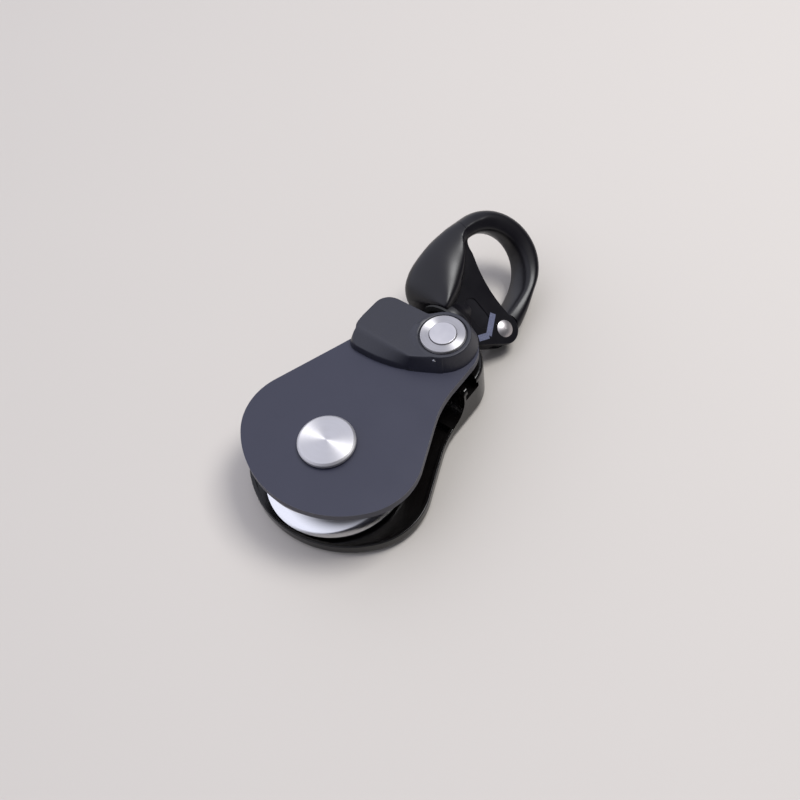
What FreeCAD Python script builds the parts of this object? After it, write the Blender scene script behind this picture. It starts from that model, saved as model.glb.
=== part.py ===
import FreeCAD
import Part
import Sketcher
import math
import os

# Single sheave block with a swinging side plate, a sprung latch lever and a gated swivel eye.
#
# The block lies on its back: +Z leaves the front plate, +Y runs along the block to the swivel eye and
# +X is to the right. The origin is on the sheave's axis, in the plane of the frame's back face.
# Lengths are millimetres and angles are degrees.

DIMENSIONS = {
    # Levels of the two side plates and of the head
    "back_thickness": 3.2,
    "rim_height": 6.2,
    "swivel_height": 16.6,
    "head_cover": 2.45,
    "plate_lift": 7.1,
    "plate_thickness": 3.1,
    # Outline shared by both side plates
    "lobe_half_width": 34.5,
    "lobe_corner_radius": 22.7,
    "lobe_offset": 2.0,
    "lobe_bottom": 26.1,
    "flank_angle": 22.0,
    "head_half_width": 23.1,
    "neck_radius": 38.0,
    "head_top": 67.2,
    "head_corner_radius": 13.4,
    # Frame
    "frame_margin": 1.3,
    "rim_thickness": 1.3,
    "frame_edge_round": 2.6,
    "rim_round": 0.4,
    "head_round": 1.2,
    "head_face": 46.4,
    "scoop_radius": 8.0,
    "head_edge": 1.2,
    "housing_wall": 1.25,
    # Sheave
    "sheave_radius": 25.5,
    "sheave_width": 17.6,
    "rim_land": 1.1,
    "groove_depth": 7.0,
    "sheave_edge": 0.35,
    "sheave_lip": 1.3,
    "retainer_width": 1.0,
    "retainer_depth": 0.6,
    "retainer_gap": 7.0,
    # Ball bearing
    "bearing_radius": 14.0,
    "bearing_width": 8.0,
    "pitch_radius": 10.0,
    "race_shoulder": 1.7,
    "ball_radius": 2.38,
    "ball_count": 9,
    "race_clearance": 0.03,
    "cage_half_width": 0.9,
    "cage_bottom": 3.1,
    "cage_top": 1.0,
    "pocket_clearance": 0.12,
    "shield_thickness": 0.35,
    "shield_inset": 0.1,
    # Axle, spacers and cap
    "axle_radius": 6.0,
    "axle_head_radius": 8.8,
    "axle_head_thickness": 1.8,
    "spacer_radius": 8.2,
    "cap_radius": 10.3,
    "cap_height": 2.0,
    "cap_bevel": 0.8,
    "cap_stem_radius": 3.0,
    "cap_stem_length": 9.0,
    "washer_thickness": 0.35,
    "washer_inset": 0.9,
    "plate_bush_wall": 2.0,
    # Front plate
    "plate_edge": 0.4,
    "latch_side_width": 20.6,
    "shoulder_start": 35.0,
    "shoulder_end": 41.0,
    "latch_corner_top": 59.4,
    "latch_corner_radius": 6.0,
    "crown_end": 160.0,
    # Catch stud
    "stud_across": 9.2,
    "stud_along": 56.1,
    "stud_foot_radius": 3.3,
    "stud_foot_bottom": 14.1,
    "stud_foot_height": 2.5,
    "stud_neck_radius": 2.3,
    "stud_collar_radius": 4.2,
    "stud_collar_height": 1.3,
    "stud_seat_radius": 3.3,
    "stud_post_radius": 5.0,
    "stud_post_height": 5.2,
    "slot_clearance": 0.25,
    "stud_ring_radius": 8.2,
    "stud_ring_height": 1.6,
    "stud_ring_floor": 0.6,
    "stud_screw_head": 4.9,
    "stud_screw_rise": 0.3,
    "stud_screw_radius": 2.0,
    "stud_screw_length": 6.5,
    # Latch lever
    "lever_height": 6.1,
    "boss_radius": 12.4,
    "boss_top_radius": 10.2,
    "lever_front": 36.5,
    "lever_front_radius": 49.6,
    "lever_front_centre": 13.0,
    "lever_front_turn": 36.0,
    "lever_end": 21.2,
    "lever_corner_radius": 6.0,
    "lever_front_corner": 4.6,
    "lever_back": 61.2,
    "lever_lip_height": 2.9,
    "lever_ridge": 42.2,
    "lever_back_height": 4.3,
    "spring_cavity_inner": 5.9,
    "spring_cavity_outer": 8.9,
    "spring_cavity_height": 3.7,
    "spring_radius": 7.3,
    "spring_wire_radius": 0.6,
    "spring_turn": 285.0,
    "spring_leg": 2.6,
    "lever_pin_radius": 0.6,
    "lever_pin_height": 4.6,
    "lever_pin_angle": -72.0,
    "lever_pin_length": 3.2,
    # Swivel shaft and its seat in the head
    "shaft_radius": 4.0,
    "shaft_start": 38.9,
    "shaft_reach": 14.0,
    "bush_wall": 1.2,
    "bush_length": 7.0,
    "bush_flange_radius": 8.5,
    "bush_flange_thickness": 1.0,
    "seal_radius": 10.6,
    "nut_radius": 6.5,
    "nut_length": 5.0,
    "nut_flat": 5.5,
    "thrust_thickness": 1.0,
    "nut_pin_radius": 1.0,
    # Swivel eye, in the eye's own plane
    "eye_roll": 39.0,
    "eye_thickness": 11.8,
    "eye_round": 4.2,
    "opening_round": 1.8,
    "ring_across": -3.7,
    "ring_along": 102.5,
    "ring_radius": 20.2,
    "ring_flare": 20.5,
    "opening_across": -2.8,
    "opening_along": 99.1,
    "opening_radius": 14.0,
    "opening_floor_radius": 53.0,
    "rivet_across": 16.4,
    "rivet_along": 83.9,
    "knuckle_radius": 6.0,
    "knuckle_start": -42.0,
    "knuckle_end": 110.0,
    "knuckle_rear": 5.2,
    "knuckle_rear_round": 4.0,
    "knuckle_edge": 0.8,
    "foot_lift": 0.9,
    "nose_depth": 1.1,
    "nose_half_height": 3.2,
    "base_corner_across": 13.0,
    "base_corner_along": 95.3,
    "collar_radius": 12.6,
    "collar_edge": 1.2,
    "collar_length": 2.5,
    "collar_waist_radius": 8.2,
    "collar_waist": 77.5,
    "collar_end": 84.0,
    # Gate, rivet and lock screw
    "gate_flare_end": 92.5,
    "gate_tail_across": 20.9,
    "gate_tail_inner": 12.4,
    "tongue_thickness": 5.0,
    "tongue_radius": 5.6,
    "gate_clearance": 0.3,
    "tongue_clearance": 0.1,
    "joint_gap": 0.15,
    "rivet_radius": 2.5,
    "rivet_head_radius": 3.3,
    "rivet_head_height": 0.9,
    "rivet_tail_inset": 0.8,
    "gate_bush_wall": 0.8,
    "lock_screw_radius": 1.5,
    "lock_screw_length": 10.0,
    "lock_screw_point": 1.6,
    "lock_screw_across": -20.3,
    "lock_screw_along": 100.65,
    "lock_screw_angle": -9.0,
    "lock_socket_radius": 0.75,
    "lock_socket_depth": 1.6,
    # Marks on the eye
    "mark_width": 2.4,
    "mark_depth": 0.25,
    "mark_inset": 7.4,
    "mark_rise": 0.6,
    "mark_length": 8.9,
    "mark_turn": -61.0,
    "mark_foot_length": 4.6,
    "mark_foot_turn": -119.0,
    "recess_length": 13.0,
    "recess_width": 6.2,
    "recess_depth": 0.4,
    "recess_inset": 12.0,
    "recess_drop": 4.0,
    "recess_turn": -20.0,
    # Shared fits
    "running_fit": 0.05,
    "seat_fit": 0.02,
    "face_gap": 0.08,
    "tool_overrun": 1.0,
}

# Cross-sections of the eye's thick cheek from its foot to its tip. Each has its distance from the
# foot, the nose's reach and drop, and the reach and height of the ridge and of the inner edge.
CHEEK_KEYS = ("rise", "nose", "drop", "ridge", "height", "inner", "inner_height")
CHEEK_SECTIONS = {
    "foot": (0.0, 21.6, 4.4, 7.8, 9.6, 0.0, 9.6),
    "heel": (2.12, 23.6, 3.8, 8.6, 9.5, 0.0, 9.4),
    "belly": (6.02, 25.4, 2.6, 9.8, 9.3, 2.0, 8.2),
    "cheek": (12.52, 26.3, 1.2, 11.6, 9.1, 5.0, 6.2),
    "neck": (21.52, 25.2, 0.4, 15.0, 7.4, 12.0, 5.9),
    "tip": (32.17, 23.9, 0.0, 19.7, 5.9, 14.0, 5.9),
}
for section, numbers in CHEEK_SECTIONS.items():
    DIMENSIONS.update({f"cheek_{section}_{key}": number for key, number in zip(CHEEK_KEYS, numbers)})

SHEET = "dims"
X_AXIS = FreeCAD.Vector(1, 0, 0)
Y_AXIS = FreeCAD.Vector(0, 1, 0)
Z_AXIS = FreeCAD.Vector(0, 0, 1)


class Size:
    """A number together with the formula that ties it to the sheet's cells."""

    def __init__(self, value, formula):
        self.value = float(value)
        self.formula = formula

    def __add__(self, other):
        other = as_size(other)
        return Size(self.value + other.value, f"({self.formula} + {other.formula})")

    def __radd__(self, other):
        return as_size(other) + self

    def __sub__(self, other):
        other = as_size(other)
        return Size(self.value - other.value, f"({self.formula} - {other.formula})")

    def __rsub__(self, other):
        return as_size(other) - self

    def __mul__(self, other):
        other = as_size(other)
        return Size(self.value * other.value, f"({self.formula} * {other.formula})")

    def __rmul__(self, other):
        return as_size(other) * self

    def __truediv__(self, other):
        other = as_size(other)
        return Size(self.value / other.value, f"({self.formula} / {other.formula})")

    def __rtruediv__(self, other):
        return as_size(other) / self

    def __neg__(self):
        return Size(-self.value, f"(0 - {self.formula})")


def as_size(number):
    """Give a plain number the same form as a named size."""
    if isinstance(number, Size):
        return number
    return Size(number, repr(float(number)))


def cosine(angle):
    angle = as_size(angle)
    return Size(math.cos(math.radians(angle.value)), f"cos({angle.formula})")


def sine(angle):
    angle = as_size(angle)
    return Size(math.sin(math.radians(angle.value)), f"sin({angle.formula})")


def tangent(angle):
    angle = as_size(angle)
    return Size(math.tan(math.radians(angle.value)), f"tan({angle.formula})")


def root(size):
    return Size(math.sqrt(size.value), f"sqrt({size.formula})")


ZERO = as_size(0)
doc = FreeCAD.newDocument("SheaveBlock")
sheet = doc.addObject("Spreadsheet::Sheet", SHEET)


def fill_sheet():
    """Write every driving dimension to the sheet, one alias to a row."""
    sizes = {}
    for row, (alias, value) in enumerate(DIMENSIONS.items(), start=1):
        sheet.set(f"A{row}", alias)
        sheet.set(f"B{row}", str(value))
        sheet.setAlias(f"B{row}", alias)
        sizes[alias] = Size(value, f"{SHEET}.{alias}")
    return sizes


def derive(alias, size):
    """Keep a worked-out size in the sheet under a name of its own."""
    row = len(DIMENSIONS) + 1 + len(derived)
    sheet.set(f"A{row}", alias)
    sheet.set(f"B{row}", "=" + size.formula.replace(f"{SHEET}.", ""))
    sheet.setAlias(f"B{row}", alias)
    derived[alias] = Size(size.value, f"{SHEET}.{alias}")
    return derived[alias]


derived = {}
D = fill_sheet()

head_height = derive("head_height", D["swivel_height"] + D["head_cover"])
plate_underside = derive("plate_underside", D["swivel_height"] + D["plate_lift"])
plate_top = derive("plate_top", plate_underside + D["plate_thickness"])
sheave_middle = derive("sheave_middle", (D["back_thickness"] + plate_underside) / 2)
bearing_bottom = derive("bearing_bottom", sheave_middle - D["bearing_width"] / 2)
bearing_top = derive("bearing_top", sheave_middle + D["bearing_width"] / 2)
inner_ring_radius = derive("inner_ring_radius", D["pitch_radius"] - D["race_shoulder"])
outer_ring_bore = derive("outer_ring_bore", D["pitch_radius"] + D["race_shoulder"])
cap_seat = derive("cap_seat", plate_top + D["washer_thickness"] + 2 * D["face_gap"])
lever_bottom = derive("lever_bottom", plate_top + 2 * D["face_gap"])
stud_top = derive("stud_top", plate_top + D["stud_post_height"])
frame_top = derive("frame_top", D["head_top"] + D["frame_margin"])
flange_end = derive("flange_end", frame_top + D["bush_flange_thickness"])
eye_bottom = derive("eye_bottom", flange_end + D["face_gap"])
slab_bottom = derive("slab_bottom", eye_bottom + D["foot_lift"])
eye_half = derive("eye_half", D["eye_thickness"] / 2)
tongue_half = derive("tongue_half", D["tongue_thickness"] / 2)


# Outlines and sketches


class Outline:
    """A closed chain of lines and arcs whose corners are pairs of sizes."""

    def __init__(self, across, along):
        self.corners = [(as_size(across), as_size(along))]
        self.steps = []

    def line(self, across, along):
        self.corners.append((as_size(across), as_size(along)))
        self.steps.append(None)
        return self

    def arc(self, across, along, radius, turn):
        """Add an arc of less than a half turn; turn is 1 anticlockwise or -1 clockwise."""
        self.corners.append((as_size(across), as_size(along)))
        self.steps.append((as_size(radius), turn))
        return self

    def close(self):
        self.steps.append(None)
        return self

    def close_arc(self, radius, turn):
        self.steps.append((as_size(radius), turn))
        return self


def arc_between(start, end, radius, turn):
    """Return the circle's arc from start to end, which is shorter than a half turn."""
    chord = end - start
    half = chord.Length / 2
    rise = math.sqrt(max(radius ** 2 - half ** 2, 0.0))
    side = FreeCAD.Vector(-chord.y, chord.x, 0) / chord.Length
    centre = start + chord / 2 + side * (rise * turn)
    first, last = (start, end) if turn > 0 else (end, start)
    begin = math.atan2(first.y - centre.y, first.x - centre.x)
    finish = math.atan2(last.y - centre.y, last.x - centre.x)
    return Part.ArcOfCircle(Part.Circle(centre, Z_AXIS, radius), begin, finish)


def pin_corner(sketch, edge, end, kind, axis, size):
    """Hold one coordinate of a corner at a size."""
    if size.formula == ZERO.formula:
        sketch.addConstraint(Sketcher.Constraint("PointOnObject", edge, end, axis))
        return
    index = sketch.addConstraint(Sketcher.Constraint(kind, -1, 1, edge, end, size.value))
    sketch.setExpression(f"Constraints[{index}]", size.formula)


def draw(sketch, outline):
    """Draw an outline in a sketch and bind all its corners and radii."""
    points = [FreeCAD.Vector(x.value, y.value, 0) for x, y in outline.corners]
    count = len(points)
    starts = []
    ends = []
    for index, step in enumerate(outline.steps):
        start, end = points[index], points[(index + 1) % count]
        if step is None:
            edge = sketch.addGeometry(Part.LineSegment(start, end), False)
            turn = 1
        else:
            radius, turn = step
            edge = sketch.addGeometry(arc_between(start, end, radius.value, turn), False)
            limit = sketch.addConstraint(Sketcher.Constraint("Radius", edge, radius.value))
            sketch.setExpression(f"Constraints[{limit}]", radius.formula)
        starts.append((edge, 1 if turn > 0 else 2))
        ends.append((edge, 2 if turn > 0 else 1))
    for index in range(count):
        edge, end = starts[index]
        before, before_end = ends[index - 1]
        sketch.addConstraint(Sketcher.Constraint("Coincident", before, before_end, edge, end))
        across, along = outline.corners[index]
        pin_corner(sketch, edge, end, "DistanceX", -2, across)
        pin_corner(sketch, edge, end, "DistanceY", -1, along)


def origin_plane(body, role):
    return next(item for item in body.Origin.OriginFeatures if item.Role == role)


def start_body(name, outline, plane, offset=None):
    """Make a body with one sketch on one of its origin planes."""
    body = doc.addObject("PartDesign::Body", name)
    sketch = body.newObject("Sketcher::SketchObject", name + "_sketch")
    sketch.AttachmentSupport = (origin_plane(body, plane), [""])
    sketch.MapMode = "FlatFace"
    if offset is not None:
        sketch.setExpression("AttachmentOffset.Base.z", offset.formula)
    draw(sketch, outline)
    return body, sketch


def padded(name, outline, length, start=None, plane="XY_Plane", middle=False):
    """Make a body by padding an outline along its plane's normal."""
    body, sketch = start_body(name, outline, plane, start)
    pad = body.newObject("PartDesign::Pad", name + "_pad")
    pad.Profile = sketch
    pad.setExpression("Length", as_size(length).formula)
    if middle:
        pad.SideType = "Symmetric"
    doc.recompute()
    return body


def turned(name, outline, plane="XZ_Plane"):
    """Make a body by turning a half section about its plane's upright axis."""
    body, sketch = start_body(name, outline, plane)
    turn = body.newObject("PartDesign::Revolution", name + "_turn")
    turn.Profile = sketch
    turn.ReferenceAxis = (sketch, ["V_Axis"])
    turn.Angle = 360
    doc.recompute()
    return body


def dress(body, kind, size, choose):
    """Round or bevel the edges of a body's solid that choose accepts."""
    base = body.Tip
    names = []
    for index, edge in enumerate(base.Shape.Edges, start=1):
        if choose(edge):
            names.append(f"Edge{index}")
    feature = body.newObject("PartDesign::" + kind, f"{base.Name}_{kind.lower()}")
    feature.Base = (base, names)
    feature.setExpression("Radius" if kind == "Fillet" else "Size", size.formula)
    body.Tip = feature
    doc.recompute()


def cylinder(name, radius, length, across=ZERO, along=ZERO, up=ZERO, axis=Z_AXIS):
    """Make a round bar that starts at a point and runs along axis."""
    bar = doc.addObject("Part::Cylinder", name)
    bar.setExpression("Radius", as_size(radius).formula)
    bar.setExpression("Height", as_size(length).formula)
    bar.Placement.Rotation = FreeCAD.Rotation(Z_AXIS, axis)
    place(bar, across, along, up)
    return bar


def box(name, across, along, up, width, depth, height):
    """Make a block from its low corner and its sizes along X, Y and Z."""
    block = doc.addObject("Part::Box", name)
    block.setExpression("Length", as_size(width).formula)
    block.setExpression("Width", as_size(depth).formula)
    block.setExpression("Height", as_size(height).formula)
    place(block, across, along, up)
    return block


def place(item, across=ZERO, along=ZERO, up=ZERO):
    """Bind an object's position to three sizes."""
    for key, size in (("x", across), ("y", along), ("z", up)):
        item.setExpression(f"Placement.Base.{key}", as_size(size).formula)


def swing(item, angle):
    """Turn an item about +Z by a named angle."""
    item.Placement.Rotation = FreeCAD.Rotation(Z_AXIS, D[angle].value)
    item.setExpression("Placement.Rotation.Angle", D[angle].formula)


def tilt_as_eye(item):
    """Turn a finished piece of the eye about the swivel axis and lift it onto that axis."""
    item.Placement = FreeCAD.Placement(FreeCAD.Vector(), FreeCAD.Rotation(Y_AXIS, 10))
    item.setExpression("Placement.Rotation.Angle", D["eye_roll"].formula)
    item.setExpression("Placement.Base.z", D["swivel_height"].formula)
    return item


def fused(name, items):
    joined = doc.addObject("Part::MultiFuse", name)
    joined.Shapes = items
    joined.Refine = True
    doc.recompute()
    return joined


def cut(name, base, tools):
    """Cut one or more tools from a base object."""
    tool = tools[0] if len(tools) == 1 else fused(name + "_tools", tools)
    piece = doc.addObject("Part::Cut", name)
    piece.Base = base
    piece.Tool = tool
    piece.Refine = True
    doc.recompute()
    return piece


def common(name, first, second):
    shared = doc.addObject("Part::Common", name)
    shared.Base = first
    shared.Tool = second
    doc.recompute()
    return shared


def ring_section(inner, outer, bottom, top):
    return Outline(inner, bottom).line(outer, bottom).line(outer, top).line(inner, top).close()


def rectangle(left, right, bottom, top):
    return Outline(left, bottom).line(right, bottom).line(right, top).line(left, top).close()


# The outline that both side plates share


def side_lines(margin):
    """Work out the tangent points of one side of the plates' outline, grown by a margin."""
    corner = D["lobe_corner_radius"] + margin
    centre_across = D["lobe_half_width"] - D["lobe_corner_radius"]
    centre_along = D["lobe_offset"]
    drop = D["lobe_bottom"] - D["lobe_corner_radius"]
    bottom_centre = (centre_along * centre_along + centre_across * centre_across - drop * drop) / (
        2 * (drop + centre_along))
    bottom_radius = bottom_centre + D["lobe_bottom"]
    reach = bottom_radius - D["lobe_corner_radius"]
    grown = bottom_radius + margin
    angle = D["flank_angle"]
    flank_across = centre_across + corner * cosine(angle)
    flank_along = centre_along + corner * sine(angle)
    head = D["head_half_width"] + margin
    meet_along = flank_along + (flank_across - head) / tangent(angle)
    neck = D["neck_radius"] - margin
    run = neck * tangent(angle / 2)
    return {
        "bottom_radius": grown,
        "bottom_across": grown * centre_across / reach,
        "bottom_along": bottom_centre + grown * (centre_along - bottom_centre) / reach,
        "corner_radius": corner,
        "flank_across": flank_across,
        "flank_along": flank_along,
        "neck_radius": neck,
        "neck_across": head + run * sine(angle),
        "neck_along": meet_along - run * cosine(angle),
        "head_across": head,
        "head_along": meet_along + run,
        "top_radius": D["head_corner_radius"] + margin,
        "top_along": D["head_top"] + margin,
    }


def keep_side_lines(name, margin):
    return {key: derive(f"{name}_{key}", size) for key, size in side_lines(margin).items()}


def right_side(outline, line):
    """Run an outline up the right side, from the lobe's bottom to the head's corner."""
    outline.arc(line["flank_across"], line["flank_along"], line["corner_radius"], 1)
    outline.line(line["neck_across"], line["neck_along"])
    outline.arc(line["head_across"], line["head_along"], line["neck_radius"], -1)
    outline.line(line["head_across"], line["top_along"] - line["top_radius"])
    outline.arc(line["head_across"] - line["top_radius"], line["top_along"], line["top_radius"], 1)
    return outline


def block_outline(line):
    """Return the whole outline, the same on both sides."""
    outline = Outline(-line["bottom_across"], line["bottom_along"])
    outline.arc(line["bottom_across"], line["bottom_along"], line["bottom_radius"], 1)
    right_side(outline, line)
    outline.line(line["top_radius"] - line["head_across"], line["top_along"])
    outline.arc(-line["head_across"], line["top_along"] - line["top_radius"], line["top_radius"], 1)
    outline.line(-line["head_across"], line["head_along"])
    outline.arc(-line["neck_across"], line["neck_along"], line["neck_radius"], -1)
    outline.line(-line["flank_across"], line["flank_along"])
    outline.close_arc(line["corner_radius"], 1)
    return outline


plate_line = keep_side_lines("plate", ZERO)
frame_line = keep_side_lines("frame", D["frame_margin"])
dish_line = keep_side_lines("dish", D["frame_margin"] - D["rim_thickness"])


# Fixed side


def stud_slot_tools():
    """Return the tools of the slot that the stud's foot leaves along an arc about the axle."""
    radius = derive("stud_orbit", root(
        D["stud_across"] * D["stud_across"] + D["stud_along"] * D["stud_along"]))
    tools = []
    levels = (
        ("slot_foot", D["stud_foot_radius"], D["stud_foot_bottom"], D["stud_foot_height"]),
        ("slot_neck", D["stud_neck_radius"], D["stud_foot_bottom"] + D["stud_foot_height"],
         head_height),
    )
    for name, size, bottom, height in levels:
        half = derive(name + "_half", size + D["slot_clearance"])
        low = bottom - D["slot_clearance"]
        tall = height + 2 * D["slot_clearance"]
        band = turned(name + "_band", ring_section(radius - half, radius + half, low, low + tall))
        side = box(name + "_side", D["stud_across"], ZERO, low,
                   2 * D["head_half_width"], radius + half, tall)
        path = common(name + "_path", band, side)
        seat = cylinder(name + "_seat", half, tall, D["stud_across"], D["stud_along"], low)
        tools += [path, seat]
    return tools


def make_frame():
    """The fixed side: a dish with a raised rim, and the head block that holds the swivel."""
    shell = padded("frame_shell", block_outline(frame_line), D["rim_height"])
    rim_level = D["rim_height"].value - 1e-6
    dress(shell, "Fillet", D["frame_edge_round"], lambda edge: edge.BoundBox.ZMax < 1e-6)
    dress(shell, "Fillet", D["rim_round"], lambda edge: edge.BoundBox.ZMin > rim_level)
    dish = padded("frame_dish", block_outline(dish_line), D["rim_height"], D["back_thickness"])
    tray = cut("frame_tray", shell, [dish])
    tall = padded("head_outline", block_outline(frame_line), head_height)
    head_level = head_height.value - 1e-6
    dress(tall, "Fillet", D["frame_edge_round"], lambda edge: edge.BoundBox.ZMax < 1e-6)
    dress(tall, "Fillet", D["head_round"], lambda edge: edge.BoundBox.ZMin > head_level)
    scoop = D["head_face"] - D["scoop_radius"]
    section = Outline(scoop, ZERO)
    beyond = frame_top + D["tool_overrun"]
    section.line(beyond, ZERO).line(beyond, head_height)
    section.line(D["head_face"] + D["head_edge"], head_height)
    section.line(D["head_face"], head_height - D["head_edge"])
    section.line(D["head_face"], D["rim_height"] + D["scoop_radius"])
    section.arc(scoop, D["rim_height"], D["scoop_radius"], -1).close()
    profile = padded("head_profile", section, 3 * D["lobe_half_width"], plane="YZ_Plane", middle=True)
    head = common("head_block", tall, profile)
    housing_radius = D["shaft_radius"] + D["bush_wall"] + D["housing_wall"]
    housing = cylinder("head_housing", housing_radius, frame_top - D["head_face"],
                       ZERO, D["head_face"], D["swivel_height"], Y_AXIS)
    blank = fused("frame_blank", [tray, head, housing])
    bush_start = frame_top - D["bush_length"]
    tools = [
        cylinder("frame_axle_head", D["axle_head_radius"] + D["seat_fit"],
                 D["axle_head_thickness"] + D["seat_fit"], ZERO, ZERO, ZERO),
        cylinder("frame_axle_hole", D["axle_radius"] + D["seat_fit"], D["rim_height"]),
        cylinder("frame_spot_face", D["nut_radius"] + 4 * D["face_gap"], D["scoop_radius"],
                 ZERO, scoop, D["swivel_height"], Y_AXIS),
        cylinder("frame_shaft_bore", D["shaft_radius"] + D["running_fit"], frame_top - scoop,
                 ZERO, scoop, D["swivel_height"], Y_AXIS),
        cylinder("frame_bush_bore", D["shaft_radius"] + D["bush_wall"] + D["seat_fit"], D["bush_length"],
                 ZERO, bush_start, D["swivel_height"], Y_AXIS),
    ]
    frame = cut("frame", blank, tools + stud_slot_tools())
    return frame


def make_axle():
    """The axle, pressed into the frame from behind with its head flush with the back face."""
    stem = D["cap_stem_radius"] + D["seat_fit"]
    floor = cap_seat - D["cap_stem_length"] - 1
    edge = D["plate_edge"]
    section = Outline(ZERO, ZERO).line(D["axle_head_radius"], ZERO)
    section.line(D["axle_head_radius"], D["axle_head_thickness"])
    section.line(D["axle_radius"], D["axle_head_thickness"])
    section.line(D["axle_radius"], cap_seat - edge).line(D["axle_radius"] - edge, cap_seat)
    section.line(stem, cap_seat).line(stem, floor).line(ZERO, floor).close()
    return turned("axle", section)


def make_axle_cap():
    """The round cap that screws into the axle's end."""
    top = cap_seat + D["cap_height"]
    section = Outline(ZERO, cap_seat - D["cap_stem_length"])
    section.line(D["cap_stem_radius"], cap_seat - D["cap_stem_length"]).line(D["cap_stem_radius"], cap_seat)
    section.line(D["cap_radius"], cap_seat).line(D["cap_radius"], top - D["cap_bevel"])
    section.line(D["cap_radius"] - D["cap_bevel"], top).line(ZERO, top).close()
    return turned("axle_cap", section)


def make_cap_washer():
    """The dark washer that the side plate turns against, under the cap."""
    bottom = plate_top + D["face_gap"]
    return turned("cap_washer", ring_section(
        D["axle_radius"] + D["running_fit"], D["cap_radius"] - D["washer_inset"],
        bottom, bottom + D["washer_thickness"]))


def make_spacers():
    """The two sleeves that hold the bearing's inner ring between the frame and the side plate."""
    bore = D["axle_radius"] + D["seat_fit"]
    rear = turned("rear_spacer", ring_section(bore, D["spacer_radius"], D["back_thickness"], bearing_bottom))
    front = turned("front_spacer", ring_section(
        bore, D["spacer_radius"], bearing_top, plate_underside - D["face_gap"]))
    return [rear, front]


def make_swivel_seat():
    """The flanged bush of the swivel shaft and the seal around its flange."""
    bore = D["shaft_radius"] + D["running_fit"]
    sleeve = D["shaft_radius"] + D["bush_wall"]
    section = Outline(bore, frame_top - D["bush_length"]).line(sleeve, frame_top - D["bush_length"])
    section.line(sleeve, frame_top).line(D["bush_flange_radius"], frame_top)
    section.line(D["bush_flange_radius"], flange_end).line(bore, flange_end).close()
    bush = turned("swivel_bush", section, "XY_Plane")
    seal = turned("swivel_seal", ring_section(
        D["bush_flange_radius"] + D["seat_fit"], D["seal_radius"], frame_top, flange_end - D["face_gap"]),
        "XY_Plane")
    for piece in (bush, seal):
        place(piece, up=D["swivel_height"])
    return [bush, seal]


# Ball bearing and sheave


def race_half(shoulder):
    """Half the width of a ball track where it cuts a shoulder of the given radius."""
    track = D["ball_radius"] + D["race_clearance"]
    step = shoulder - D["pitch_radius"]
    return root(track * track - step * step)


def make_bearing_rings():
    half = D["bearing_width"] / 2
    track = D["ball_radius"] + D["race_clearance"]
    inner_half = derive("inner_race_half", race_half(inner_ring_radius))
    outer_half = derive("outer_race_half", race_half(outer_ring_bore))
    inner = Outline(D["axle_radius"] + D["seat_fit"], -half).line(inner_ring_radius, -half)
    inner.line(inner_ring_radius, -inner_half)
    inner.arc(inner_ring_radius, inner_half, track, -1)
    inner.line(inner_ring_radius, half).line(D["axle_radius"] + D["seat_fit"], half).close()
    outer = Outline(outer_ring_bore, -half).line(D["bearing_radius"], -half)
    outer.line(D["bearing_radius"], half).line(outer_ring_bore, half)
    outer.line(outer_ring_bore, outer_half)
    outer.arc(outer_ring_bore, -outer_half, track, -1).close()
    rings = [turned("bearing_inner_ring", inner), turned("bearing_outer_ring", outer)]
    for ring in rings:
        place(ring, up=sheave_middle)
    return rings


def make_balls():
    """The balls, one group on the pitch circle, and the cage whose pockets follow them."""
    balls = []
    pockets = []
    for index in range(int(DIMENSIONS["ball_count"])):
        angle = index * 360 / D["ball_count"]
        for name, radius, group in (
                ("ball", D["ball_radius"], balls),
                ("pocket", D["ball_radius"] + D["pocket_clearance"], pockets)):
            ball = doc.addObject("Part::Sphere", f"{name}_{index + 1}")
            ball.setExpression("Radius", radius.formula)
            place(ball, D["pitch_radius"] * cosine(angle), D["pitch_radius"] * sine(angle), sheave_middle)
            group.append(ball)
    group = doc.addObject("Part::Compound", "bearing_balls")
    group.Links = balls
    ring = turned("cage_ring", ring_section(
        D["pitch_radius"] - D["cage_half_width"], D["pitch_radius"] + D["cage_half_width"],
        sheave_middle - D["cage_bottom"], sheave_middle + D["cage_top"]))
    return [group, cut("bearing_cage", ring, pockets)]


def make_shields():
    """Two thin shields that close the bearing, carried by its outer ring."""
    shields = []
    half = D["bearing_width"] / 2 - D["shield_inset"]
    levels = (("rear_shield", sheave_middle - half),
              ("front_shield", sheave_middle + half - D["shield_thickness"]))
    for name, bottom in levels:
        shields.append(turned(name, ring_section(
            inner_ring_radius + 2 * D["running_fit"], outer_ring_bore,
            bottom, bottom + D["shield_thickness"])))
    return shields


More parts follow.
